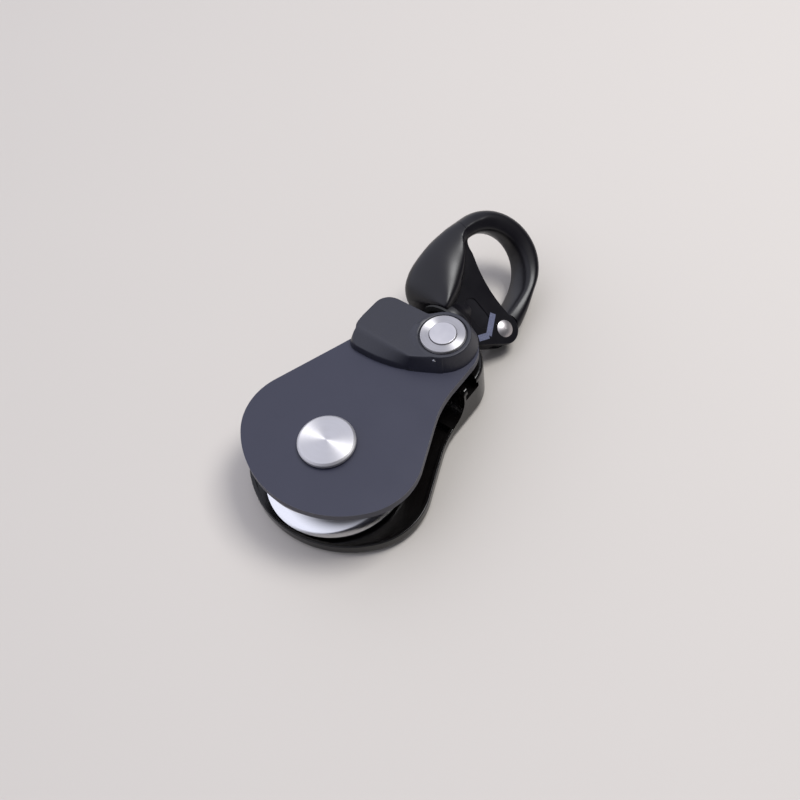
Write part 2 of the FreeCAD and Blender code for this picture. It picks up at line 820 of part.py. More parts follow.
def make_sheave():
    """The grooved wheel, with a lip before the bearing and a retaining ring behind it."""
    half = D["sheave_width"] / 2
    land = half - D["rim_land"]
    edge = D["sheave_edge"]
    rim = D["sheave_radius"]
    bore = D["bearing_radius"]
    seat = D["bearing_width"] / 2
    groove = (land * land + D["groove_depth"] * D["groove_depth"]) / (2 * D["groove_depth"])
    slot = bore + D["retainer_depth"]
    section = Outline(bore, -half).line(rim - edge, -half).line(rim, edge - half).line(rim, -land)
    section.arc(rim, land, groove, -1)
    section.line(rim, half - edge).line(rim - edge, half).line(bore - D["sheave_lip"], half)
    section.line(bore - D["sheave_lip"], seat).line(bore, seat).line(bore, -seat).line(slot, -seat)
    section.line(slot, -seat - D["retainer_width"]).line(bore, -seat - D["retainer_width"]).close()
    sheave = turned("sheave", section)
    place(sheave, up=sheave_middle)
    ring_bottom = bearing_bottom - D["retainer_width"]
    ring = turned("retainer_ring", ring_section(bore - D["sheave_lip"], slot, ring_bottom, bearing_bottom))
    gap = box("retainer_gap_tool", -D["retainer_gap"] / 2, bore - 2 * D["sheave_lip"], ring_bottom,
              D["retainer_gap"], 2 * bore, D["retainer_width"])
    return [sheave, cut("bearing_retainer", ring, [gap])]


# Swinging side


def make_side_plate():
    """The front plate; its head is cut back under the lever and rounded about the stud."""
    line = plate_line
    crown = D["head_top"] - D["stud_along"]
    crown_end = D["crown_end"]
    left = D["latch_side_width"]
    shoulder_across = line["flank_across"] - (D["shoulder_start"] - line["flank_along"]) * tangent(
        D["flank_angle"])
    outline = Outline(-line["bottom_across"], line["bottom_along"])
    outline.arc(line["bottom_across"], line["bottom_along"], line["bottom_radius"], 1)
    right_side(outline, line)
    outline.line(D["stud_across"], D["head_top"])
    outline.arc(D["stud_across"] + crown * cosine(crown_end), D["stud_along"] + crown * sine(crown_end),
                crown, 1)
    outline.line(D["latch_corner_radius"] - left, D["latch_corner_top"])
    outline.arc(-left, D["latch_corner_top"] - D["latch_corner_radius"], D["latch_corner_radius"], 1)
    outline.line(-left, D["shoulder_end"])
    outline.line(-shoulder_across, D["shoulder_start"])
    outline.line(-line["flank_across"], line["flank_along"])
    outline.close_arc(line["corner_radius"], 1)
    blank = padded("plate_blank", outline, D["plate_thickness"], plate_underside)
    top = plate_top.value
    dress(blank, "Chamfer", D["plate_edge"], lambda edge: edge.BoundBox.ZMin > top - 1e-6)
    hub = D["axle_radius"] + D["running_fit"] + D["plate_bush_wall"] + D["seat_fit"]
    tools = [
        cylinder("plate_hub_hole", hub, D["plate_thickness"], up=plate_underside),
        cylinder("plate_stud_hole", D["stud_seat_radius"] + D["seat_fit"], D["plate_thickness"],
                 D["stud_across"], D["stud_along"], plate_underside),
    ]
    plate = cut("moving_side_plate", blank, tools)
    bore = D["axle_radius"] + D["running_fit"]
    bush = turned("plate_bush", ring_section(
        bore, bore + D["plate_bush_wall"], plate_underside, plate_top))
    return [plate, bush]


def make_stud():
    """The catch stud, the ring that keeps the lever on it, and the screw that holds the ring."""
    foot_top = D["stud_foot_bottom"] + D["stud_foot_height"]
    collar = plate_underside - D["stud_collar_height"]
    tap = D["stud_screw_radius"] + D["seat_fit"]
    tap_floor = stud_top - D["stud_screw_length"]
    section = Outline(ZERO, D["stud_foot_bottom"]).line(D["stud_foot_radius"], D["stud_foot_bottom"])
    section.line(D["stud_foot_radius"], foot_top).line(D["stud_neck_radius"], foot_top)
    section.line(D["stud_neck_radius"], collar).line(D["stud_collar_radius"], collar)
    section.line(D["stud_collar_radius"], plate_underside)
    section.line(D["stud_seat_radius"], plate_underside).line(D["stud_seat_radius"], plate_top)
    section.line(D["stud_post_radius"], plate_top).line(D["stud_post_radius"], stud_top)
    section.line(tap, stud_top).line(tap, tap_floor).line(ZERO, tap_floor).close()
    stud = turned("catch_stud", section)
    floor = stud_top + D["stud_ring_floor"]
    rim = stud_top + D["stud_ring_height"]
    bevel = D["plate_edge"]
    pocket = D["stud_screw_head"] + D["running_fit"]
    section = Outline(tap, stud_top).line(D["stud_ring_radius"], stud_top)
    section.line(D["stud_ring_radius"], rim - bevel).line(D["stud_ring_radius"] - bevel, rim)
    section.line(pocket, rim).line(pocket, floor).line(tap, floor).close()
    ring = turned("stud_ring", section)
    crown = rim + D["stud_screw_rise"]
    shank_end = tap_floor + D["running_fit"]
    section = Outline(ZERO, shank_end).line(D["stud_screw_radius"], shank_end)
    section.line(D["stud_screw_radius"], floor).line(D["stud_screw_head"], floor)
    section.line(D["stud_screw_head"], crown - D["face_gap"])
    section.line(D["stud_screw_head"] - D["face_gap"], crown).line(ZERO, crown).close()
    screw = turned("stud_screw", section)
    for piece in (stud, ring, screw):
        place(piece, D["stud_across"], D["stud_along"])
    return [stud, ring, screw]


# Latch


def lever_arm():
    """The lever's arm: a moulded finger tab with a sloped front and a falling back."""
    height = D["lever_height"] - 2 * D["face_gap"]
    left = D["lever_end"]
    front = D["lever_front"]
    curve = D["lever_front_radius"]
    corner = D["lever_corner_radius"]
    nose = D["lever_front_corner"]
    turn = D["lever_front_turn"]
    outline = Outline(-left, front + nose)
    outline.arc(nose - left, front, nose, 1)
    outline.line(-D["lever_front_centre"], front)
    outline.arc(curve * sine(turn) - D["lever_front_centre"], front + curve * (1 - cosine(turn)), curve, 1)
    outline.line(D["stud_across"], D["stud_along"])
    outline.line(D["stud_across"] - D["boss_top_radius"], D["lever_back"])
    outline.line(corner - left, D["lever_back"])
    outline.arc(-left, D["lever_back"] - corner, corner, 1).close()
    tab = padded("lever_tab", outline, height, lever_bottom)
    ceiling = plate_top + D["lever_height"] + D["tool_overrun"]
    lip = plate_top + D["lever_lip_height"]
    ridge = plate_top + D["lever_height"]
    back = plate_top + D["lever_back_height"]
    ahead = front - D["tool_overrun"]
    behind = D["lever_back"] + D["tool_overrun"]
    wedge = Outline(ahead, lip).line(front, lip).line(D["lever_ridge"], ridge)
    wedge.line(D["lever_back"], back).line(behind, back)
    wedge.line(behind, ceiling).line(ahead, ceiling).close()
    slopes = padded("lever_slopes", wedge, 4 * D["lever_end"], plane="YZ_Plane", middle=True)
    return cut("lever_arm", tab, [slopes])


def make_lever():
    """The latch lever: its boss turns on the stud over the spring."""
    arm = lever_arm()
    top = plate_top + D["lever_height"]
    section = Outline(ZERO, lever_bottom).line(D["boss_radius"], lever_bottom)
    section.line(D["boss_top_radius"], top - D["plate_edge"])
    section.line(D["boss_top_radius"] - D["plate_edge"], top).line(ZERO, top).close()
    boss = turned("lever_boss", section)
    place(boss, D["stud_across"], D["stud_along"])
    blank = fused("lever_blank", [arm, boss])
    recess = stud_top - 2 * D["face_gap"]
    cavity = turned("lever_cavity", ring_section(
        D["spring_cavity_inner"], D["spring_cavity_outer"], plate_top,
        plate_top + D["spring_cavity_height"]))
    place(cavity, D["stud_across"], D["stud_along"])
    tools = [
        cylinder("lever_bore", D["stud_post_radius"] + D["running_fit"], D["lever_height"],
                 D["stud_across"], D["stud_along"], plate_top),
        cylinder("lever_recess", D["stud_ring_radius"] + 4 * D["face_gap"], D["lever_height"],
                 D["stud_across"], D["stud_along"], recess),
        cavity,
        lever_pin_bar("lever_pin_hole", D["seat_fit"]),
    ]
    lever = cut("latch_lever", blank, tools)
    pin = common("lever_pin", lever_pin_bar("lever_pin_bar", ZERO), boss_cone())
    return [lever, pin]


def lever_pin_bar(name, fit):
    """A small bar across the boss wall, square to the stud, for the spring's leg."""
    angle = D["lever_pin_angle"]
    start = D["boss_radius"] - D["lever_pin_length"]
    bar = doc.addObject("Part::Cylinder", name)
    bar.setExpression("Radius", (D["lever_pin_radius"] + fit).formula)
    bar.setExpression("Height", (D["lever_pin_length"] + 1).formula)
    turn = FreeCAD.Rotation(Z_AXIS, DIMENSIONS["lever_pin_angle"])
    bar.Placement.Rotation = turn.multiply(FreeCAD.Rotation(Z_AXIS, X_AXIS))
    place(bar, D["stud_across"] + start * cosine(angle), D["stud_along"] + start * sine(angle),
          plate_top + D["lever_pin_height"])
    return bar


def boss_cone():
    """The boss's outer cone, which trims the pin flush with the lever's wall."""
    top = plate_top + D["lever_height"]
    section = Outline(ZERO, lever_bottom).line(D["boss_radius"], lever_bottom)
    section.line(D["boss_top_radius"], top - D["plate_edge"]).line(ZERO, top - D["plate_edge"]).close()
    cone = turned("lever_pin_limit", section)
    place(cone, D["stud_across"], D["stud_along"])
    return cone


def make_spring():
    """The lever's torsion spring: an open ring of wire about the stud, with a leg at each end."""
    low = lever_bottom + D["spring_wire_radius"] + D["face_gap"]
    turn = D["spring_turn"]
    ring = doc.addObject("Part::Torus", "spring_ring")
    ring.setExpression("Radius1", D["spring_radius"].formula)
    ring.setExpression("Radius2", D["spring_wire_radius"].formula)
    ring.setExpression("Angle3", turn.formula)
    place(ring, D["stud_across"], D["stud_along"], low)
    tip = FreeCAD.Vector(-sine(turn).value, cosine(turn).value, 0)
    first = cylinder("spring_first_leg", D["spring_wire_radius"], D["spring_leg"],
                     D["stud_across"] + D["spring_radius"], D["stud_along"], low, -Y_AXIS)
    last = cylinder("spring_last_leg", D["spring_wire_radius"], D["spring_leg"],
                    D["stud_across"] + D["spring_radius"] * cosine(turn),
                    D["stud_along"] + D["spring_radius"] * sine(turn), low, tip)
    return fused("lever_spring", [ring, first, last])


# Swivel


def make_shaft():
    """The swivel shaft, its round nut with two flats, the cross pin and the thrust washer."""
    edge = D["plate_edge"]
    end = slab_bottom + D["shaft_reach"]
    radius = D["shaft_radius"]
    section = Outline(ZERO, D["shaft_start"]).line(radius - edge, D["shaft_start"])
    section.line(radius, D["shaft_start"] + edge).line(radius, end - edge)
    section.line(radius - edge, end).line(ZERO, end).close()
    bar = turned("shaft_bar", section, "XY_Plane")
    washer_start = D["head_face"] - D["face_gap"] - D["thrust_thickness"]
    nut_end = washer_start - D["face_gap"]
    nut_start = nut_end - D["nut_length"]
    blank = turned("nut_blank", ring_section(
        radius + D["seat_fit"], D["nut_radius"], nut_start, nut_end), "XY_Plane")
    flats = [
        box("nut_flat_right", D["nut_flat"], nut_start, -D["nut_radius"], D["nut_radius"],
            D["nut_length"] / 2, 2 * D["nut_radius"]),
        box("nut_flat_left", -D["nut_flat"] - D["nut_radius"], nut_start, -D["nut_radius"],
            D["nut_radius"], D["nut_length"] / 2, 2 * D["nut_radius"]),
    ]
    pin_along = nut_end - D["nut_length"] / 4
    length = 2 * D["nut_flat"]

    def cross_bar(name, fit):
        return cylinder(name, D["nut_pin_radius"] + fit, length, -length / 2, pin_along, ZERO, X_AXIS)

    pin = cross_bar("swivel_nut_pin", ZERO)
    nut = cut("swivel_nut", blank, flats + [cross_bar("nut_pin_hole", D["seat_fit"])])
    shaft = cut("swivel_shaft", bar, [cross_bar("shaft_pin_hole", D["seat_fit"])])
    washer = turned("thrust_washer", ring_section(
        radius + D["running_fit"], D["nut_radius"], washer_start, washer_start + D["thrust_thickness"]),
        "XY_Plane")
    for piece in (shaft, nut, washer, pin):
        place(piece, ZERO, pin_along if piece is pin else ZERO, D["swivel_height"])
    place(pin, -length / 2, pin_along, D["swivel_height"])
    return [shaft, nut, pin, washer]


# Swivel eye, drawn in its own plane and then tilted about the shaft


def knuckle_point(angle, radius):
    return (D["rivet_across"] + radius * cosine(angle), D["rivet_along"] + radius * sine(angle))


def knuckle_outline():
    """The knuckle about the rivet, with the base's sloping edge tangent to it."""
    lower = knuckle_point(D["knuckle_start"], D["knuckle_radius"])
    upper = knuckle_point(D["knuckle_end"], D["knuckle_radius"])
    foot_right = lower[0] + (lower[1] - slab_bottom) * tangent(D["knuckle_start"])
    inner = D["rivet_across"] - 2 * D["knuckle_radius"]
    outline = Outline(inner, slab_bottom).line(foot_right, slab_bottom)
    return outline.line(*lower).arc(*upper, D["knuckle_radius"], 1).close()


def eye_base_outline():
    """The base's flat outline: foot, rivet side, the opening's floor and the cheek's inner side."""
    upper = knuckle_point(D["knuckle_end"], D["knuckle_radius"])
    outline = Outline(-D["base_corner_across"], slab_bottom)
    outline.line(D["rivet_across"] - D["knuckle_radius"], slab_bottom)
    outline.line(upper[0], D["rivet_along"] - D["knuckle_radius"] / 2).line(*upper)
    outline.arc(-D["base_corner_across"], D["base_corner_along"], D["opening_floor_radius"], -1)
    outline.line(D["opening_across"] - D["opening_radius"], D["opening_along"])
    return outline.close()


def cheek_section(name):
    """One cross-section of the thick cheek, square to the shaft, with a rounded nose."""
    rise, nose, drop, ridge, height, inner, inner_height = (
        D[f"cheek_{name}_{key}"] for key in CHEEK_KEYS)
    sketch = doc.addObject("Sketcher::SketchObject", f"cheek_{name}")
    sketch.Placement.Rotation = FreeCAD.Rotation(X_AXIS, 90)
    sketch.setExpression("Placement.Base.y", (slab_bottom + rise).formula)
    depth = D["nose_depth"]
    half = D["nose_half_height"]
    radius = (depth * depth + half * half) / (2 * depth)
    outline = Outline(-inner, -inner_height).line(-ridge, -height).line(depth - nose, -half - drop)
    outline.arc(depth - nose, half - drop, radius, -1)
    outline.line(-ridge, height).line(-inner, inner_height).close()
    draw(sketch, outline)
    return sketch


def make_cheek():
    """The thick cheek on the closing side, lofted from the foot to the gate's end face."""
    cheek = doc.addObject("Part::Loft", "cheek")
    cheek.Sections = [cheek_section(name) for name in CHEEK_SECTIONS]
    cheek.Solid = True
    cheek.Ruled = True
    doc.recompute()
    return cheek


def lock_screw_bar(name, fit, past):
    """The lock screw's body in the eye's plane: a bar with a cone point that enters the cheek."""
    radius = D["lock_screw_radius"] + fit
    point = D["lock_screw_point"]
    end = D["lock_screw_length"] + past
    section = Outline(ZERO, -point - fit).line(radius, ZERO - fit)
    section.line(radius, end).line(ZERO, end).close()
    bar = turned(name, section, "XY_Plane")
    swing(bar, "lock_screw_angle")
    place(bar, D["lock_screw_across"], D["lock_screw_along"])
    return bar


def make_eye_body():
    """The eye's base: a flat slab, a round collar about the shaft and the thick cheek."""
    slab = padded("eye_slab", eye_base_outline(), D["eye_thickness"], middle=True)
    knuckle = padded("eye_knuckle", knuckle_outline(), D["knuckle_rear"] + eye_half, -D["knuckle_rear"])
    right_side_from = D["rivet_across"].value - D["knuckle_radius"].value / 2
    for level, size in ((-D["knuckle_rear"], D["knuckle_rear_round"]), (eye_half, D["knuckle_edge"])):
        dress(knuckle, "Fillet", size,
              lambda edge: abs(edge.BoundBox.ZMin - level.value) < 1e-6
              and edge.BoundBox.ZLength < 1e-6 and edge.CenterOfMass.x > right_side_from)
    collar = Outline(ZERO, eye_bottom).line(D["collar_radius"] - D["collar_edge"], eye_bottom)
    collar.line(D["collar_radius"], eye_bottom + D["collar_edge"])
    collar.line(D["collar_radius"], eye_bottom + D["collar_length"])
    collar.line(D["collar_waist_radius"], D["collar_waist"]).line(eye_half - 1, D["collar_end"])
    collar.line(ZERO, D["collar_end"]).close()
    base = fused("eye_blank", [slab, knuckle, turned("eye_collar", collar, "XY_Plane"), make_cheek()])
    upper = knuckle_point(D["knuckle_end"], D["knuckle_radius"])
    high = D["ring_along"] + D["ring_radius"]
    wide = 2 * D["ring_radius"]
    face_inner = D["opening_along"] - D["joint_gap"]
    face_outer = D["ring_along"] - D["joint_gap"]
    run = (D["ring_radius"] - D["ring_across"]) - (D["opening_radius"] - D["opening_across"])
    slope = (face_outer - face_inner) / run
    above = Outline(*upper).line(wide, upper[1] + 1).line(wide, high).line(-wide, high)
    above.line(-wide, face_outer + (wide + D["ring_across"] - D["ring_radius"]) * slope)
    above.line(D["opening_across"] - D["opening_radius"], face_inner)
    above.line(-D["base_corner_across"], D["base_corner_along"])
    above.close_arc(D["opening_floor_radius"], 1)
    slot_radius = D["knuckle_radius"] + 2 * D["gate_clearance"]
    slot = rectangle(D["rivet_across"] - slot_radius, wide, D["rivet_along"] - slot_radius, high)
    tools = [
        padded("eye_above", above, 4 * D["eye_thickness"], middle=True),
        padded("eye_slot", slot, D["tongue_thickness"] + 2 * D["tongue_clearance"], middle=True),
        cylinder("eye_shaft_bore", D["shaft_radius"] + D["seat_fit"], D["shaft_reach"] + 2 * D["foot_lift"],
                 ZERO, slab_bottom - 2 * D["foot_lift"], ZERO, Y_AXIS),
        cylinder("eye_rivet_bore", D["rivet_radius"] + D["seat_fit"], 2 * D["eye_thickness"],
                 D["rivet_across"], D["rivet_along"], -D["eye_thickness"]),
        lock_screw_bar("eye_lock_seat", 2 * D["running_fit"], ZERO),
        eye_mark_blank("eye_mark_pocket", D["seat_fit"]),
        eye_recess(),
    ]
    return tilt_as_eye(cut("eye_body", base, tools))


def eye_recess():
    """A shallow blank panel in the base's front face."""
    half = D["recess_length"] / 2 - D["recess_width"] / 2
    side = D["recess_width"] / 2
    outline = Outline(-half, -side).line(half, -side).arc(half + side, ZERO, side, 1)
    outline.arc(half, side, side, 1).line(-half, side).arc(-half - side, ZERO, side, 1)
    outline.close_arc(side, 1)
    panel = padded("eye_recess", outline, eye_half, eye_half - D["recess_depth"])
    swing(panel, "recess_turn")
    place(panel, D["rivet_across"] - D["recess_inset"], D["rivet_along"] - D["recess_drop"])
    return panel


def eye_mark_blank(name, fit):
    """The bent direction mark beside the rivet, a long bar with a short foot."""
    depth = D["mark_depth"]
    half = D["mark_width"] / 2 + fit
    across = D["rivet_across"] - D["mark_inset"]
    along = D["rivet_along"] + D["mark_rise"]
    bars = []
    for limb, length, turn in (("bar", "mark_length", "mark_turn"),
                               ("foot", "mark_foot_length", "mark_foot_turn")):
        bar = padded(f"{name}_{limb}", rectangle(-fit, D[length] + fit, -half, half),
                     depth + fit, eye_half - depth - fit)
        swing(bar, turn)
        place(bar, across, along)
        across = across + D[length] * cosine(D[turn])
        along = along + D[length] * sine(D[turn])
        bars.append(bar)
    return fused(name, bars)


def gate_outline():
    """The gate's flat outline: most of the ring, from the cheek's tip round to the knuckle."""
    ring = (D["ring_across"], D["ring_along"], D["ring_radius"])
    hole = (D["opening_across"], D["opening_along"], D["opening_radius"])
    flare = D["ring_flare"]
    side = (ring[0] + ring[2] * cosine(flare), ring[1] + ring[2] * sine(flare))
    tail = D["rivet_along"] + D["knuckle_radius"] * sine(45)
    upper = knuckle_point(D["knuckle_end"], D["knuckle_radius"])
    floor_slope = (D["base_corner_along"] - upper[1]) / (upper[0] + D["base_corner_across"])
    floor = upper[1] + D["gate_clearance"]
    outline = Outline(ring[0] - ring[2], ring[1])
    outline.arc(ring[0], ring[1] + ring[2], ring[2], -1)
    outline.arc(*side, ring[2], -1)
    outline.line(side[0] + (side[1] - D["gate_flare_end"]) * tangent(flare), D["gate_flare_end"])
    outline.line(D["gate_tail_across"], tail).line(D["rivet_across"], tail).line(upper[0], floor)
    outline.line(D["gate_tail_inner"], floor + (upper[0] - D["gate_tail_inner"]) * floor_slope)
    outline.line(hole[0] + hole[2], hole[1])
    outline.arc(hole[0], hole[1] + hole[2], hole[2], 1)
    outline.arc(hole[0] - hole[2], hole[1], hole[2], 1).close()
    return outline


def make_gate():
    """The gate: the ring's arm with a tongue that turns on the rivet, and its bush."""
    blank = padded("gate_blank", gate_outline(), D["eye_thickness"], middle=True)
    half = eye_half.value
    middle = FreeCAD.Vector(D["ring_across"].value, D["ring_along"].value, 0)
    rim = D["ring_radius"].value * 0.97

    def rim_edge(edge):
        point = edge.valueAt((edge.FirstParameter + edge.LastParameter) / 2)
        lies_flat = abs(abs(point.z) - half) < 1e-6
        point.z = 0
        on_floor = point.y < D["gate_flare_end"].value and point.x < D["rivet_across"].value
        above_tail = point.y > D["rivet_along"].value + D["knuckle_radius"].value
        return lies_flat and above_tail and not on_floor and (point - middle).Length > rim

    def opening_edge(edge):
        point = edge.valueAt((edge.FirstParameter + edge.LastParameter) / 2)
        lies_flat = abs(abs(point.z) - half) < 1e-6
        return lies_flat and edge.Length > D["knuckle_radius"].value and point.x < D["gate_tail_inner"].value

    dress(blank, "Fillet", D["eye_round"], rim_edge)
    dress(blank, "Fillet", D["opening_round"], opening_edge)
    shoulder = D["knuckle_radius"] + D["gate_clearance"]
    bore = D["rivet_radius"] + D["running_fit"] + D["gate_bush_wall"]
    rivet_at = (D["rivet_across"], D["rivet_along"])
    sides = [
        cylinder("gate_side_front", shoulder, eye_half, *rivet_at, tongue_half),
        cylinder("gate_side_rear", shoulder, eye_half, *rivet_at, -tongue_half - eye_half),
    ]
    arm = cut("gate_arm", blank, sides)
    tongue = cylinder("gate_tongue", D["tongue_radius"], D["tongue_thickness"], *rivet_at, -tongue_half)
    whole = fused("gate_whole", [arm, tongue])
    gate = cut("eye_gate", whole, [
        cylinder("gate_bore", bore + D["seat_fit"], D["eye_thickness"], *rivet_at, -eye_half),
        lock_screw_bar("gate_screw_hole", D["seat_fit"], 2 * D["eye_thickness"]),
    ])
    bush = turned("gate_bush", ring_section(
        D["rivet_radius"] + D["running_fit"], bore, -tongue_half, tongue_half))
    place(bush, *rivet_at)
    return [tilt_as_eye(gate), tilt_as_eye(carried("gate_bush_piece", bush))]


def carried(name, item):
    """Wrap a placed item in a compound, which can then be turned and moved as a whole."""
    group = doc.addObject("Part::Compound", name)
    group.Links = [item]
    doc.recompute()
    return group


def make_rivet():
    """The gate's rivet, with a domed head in front and a flush tail."""
    head = D["rivet_head_radius"]
    rise = D["rivet_head_height"]
    dome = (head * head + rise * rise) / (2 * rise)
    section = Outline(ZERO, D["rivet_tail_inset"] - eye_half)
    section.line(D["rivet_radius"], D["rivet_tail_inset"] - eye_half).line(D["rivet_radius"], eye_half)
    section.line(head, eye_half).arc(ZERO, eye_half + rise, dome, 1).close()
    rivet = turned("gate_rivet_bar", section)
    place(rivet, D["rivet_across"], D["rivet_along"])
    return tilt_as_eye(carried("gate_rivet", rivet))


def make_lock_screw():
    """The socket screw in the gate's tip."""
    bar = lock_screw_bar("lock_screw_bar", ZERO, ZERO)
    socket = cylinder("lock_screw_socket", D["lock_socket_radius"], D["lock_socket_depth"], ZERO,
                      D["lock_screw_length"] - D["lock_socket_depth"], ZERO, Y_AXIS)
    holder = carried("lock_socket_holder", socket)
    swing(holder, "lock_screw_angle")
    place(holder, D["lock_screw_across"], D["lock_screw_along"])
    return tilt_as_eye(cut("gate_lock_screw", bar, [holder]))


def make_eye_mark():
    """The pale inlay of the direction mark."""
    return tilt_as_eye(eye_mark_blank("eye_mark", ZERO))


# Build, check and write


def label_pieces():
    """Make every sub-part and give each the label that names its file."""
    pieces = {"frame": make_frame(), "axle": make_axle(), "axle_cap": make_axle_cap()}
    pieces["cap_washer"] = make_cap_washer()
    pieces["rear_spacer"], pieces["front_spacer"] = make_spacers()
    pieces["swivel_bush"], pieces["swivel_seal"] = make_swivel_seat()
    pieces["bearing_inner_ring"], pieces["bearing_outer_ring"] = make_bearing_rings()
    pieces["bearing_balls"], pieces["bearing_cage"] = make_balls()
    pieces["rear_shield"], pieces["front_shield"] = make_shields()
    pieces["sheave"], pieces["bearing_retainer"] = make_sheave()
    pieces["moving_side_plate"], pieces["plate_bush"] = make_side_plate()
    pieces["catch_stud"], pieces["stud_ring"], pieces["stud_screw"] = make_stud()
    pieces["latch_lever"], pieces["lever_pin"] = make_lever()
    pieces["lever_spring"] = make_spring()
    shaft_set = make_shaft()
    for name, piece in zip(("swivel_shaft", "swivel_nut", "swivel_nut_pin", "thrust_washer"), shaft_set):
        pieces[name] = piece
    pieces["eye_body"] = make_eye_body()
    pieces["eye_gate"], pieces["gate_bush"] = make_gate()
    pieces["gate_rivet"] = make_rivet()
    pieces["gate_lock_screw"] = make_lock_screw()
    pieces["eye_mark"] = make_eye_mark()
    for name, piece in pieces.items():
        piece.Label = name
    return pieces


def check_document(pieces):
    """Stop if any object failed or any sub-part's shape is empty or invalid."""
    faults = []
    for item in doc.Objects:
        if "Invalid" in item.State or "Error" in item.State:
            faults.append(f"{item.Name}: {item.State}")
    for name, piece in pieces.items():
        if piece.Shape.isNull() or not piece.Shape.isValid() or not piece.Shape.Solids:
            faults.append(f"{name}: bad shape")
    if faults:
        raise RuntimeError("; ".join(faults))


def main():
    pieces = label_pieces()
    doc.recompute()
    check_document(pieces)
    os.makedirs("parts", exist_ok=True)
    for name, piece in pieces.items():
        piece.Shape.exportStep(os.path.join("parts", f"{name}.step"))
        print(f"{name}: {len(piece.Shape.Solids)} solids, {piece.Shape.Volume:.1f} mm3")


main()
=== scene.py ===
"""Looks of a single sheave block: modelled surfaces and finishes, built around its packed metal parts.

Sizes in this file are millimetres and angles are degrees. A finished mesh is brought to metres once,
when its piece is made. X is to the right, Y runs along the block to the swivel eye and Z leaves the
front plate. The eye's pieces are drawn in the eye's own plane and then turned about the swivel axis.
"""

import logging
import math
from dataclasses import dataclass
from enum import Enum
from typing import Callable, Iterable, Sequence

import bmesh
import bpy
from mathutils import Matrix, Vector


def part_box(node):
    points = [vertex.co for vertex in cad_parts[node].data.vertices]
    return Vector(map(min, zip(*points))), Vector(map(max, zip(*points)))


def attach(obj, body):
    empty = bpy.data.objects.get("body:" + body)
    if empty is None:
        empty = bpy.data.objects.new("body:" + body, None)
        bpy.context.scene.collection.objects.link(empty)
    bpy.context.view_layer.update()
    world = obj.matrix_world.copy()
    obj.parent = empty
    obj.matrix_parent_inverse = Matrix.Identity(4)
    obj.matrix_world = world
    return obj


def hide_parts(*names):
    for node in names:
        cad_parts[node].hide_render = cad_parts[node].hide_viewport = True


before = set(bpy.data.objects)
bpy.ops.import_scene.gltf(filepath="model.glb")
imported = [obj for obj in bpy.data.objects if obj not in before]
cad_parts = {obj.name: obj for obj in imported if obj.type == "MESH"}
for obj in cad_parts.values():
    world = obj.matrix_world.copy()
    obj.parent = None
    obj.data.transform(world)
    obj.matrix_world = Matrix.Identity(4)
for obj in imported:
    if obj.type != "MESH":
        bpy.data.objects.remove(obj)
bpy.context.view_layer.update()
MM = 0.001
CORNER = 50.0  # degrees between two faces, past which their edge is a corner
FLOOR_LEVEL = -0.0001  # metres
SAME_PLACE = 1e-4  # millimetres

Colour = tuple[float, float, float]
Place = tuple[float, float, float]
Point = tuple[float, float]
Node = bpy.types.Node
Output = bpy.types.NodeSocket
Tree = bpy.types.NodeTree
Object = bpy.types.Object
Mesh = bmesh.types.BMesh
Edges = list[bmesh.types.BMEdge]


def node_box(node: str) -> tuple[Vector, Vector]:
    """Give a metal part's lowest and highest corners in millimetres."""
    low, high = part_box(node)
    return low / MM, high / MM


# Shader trees and shared effects


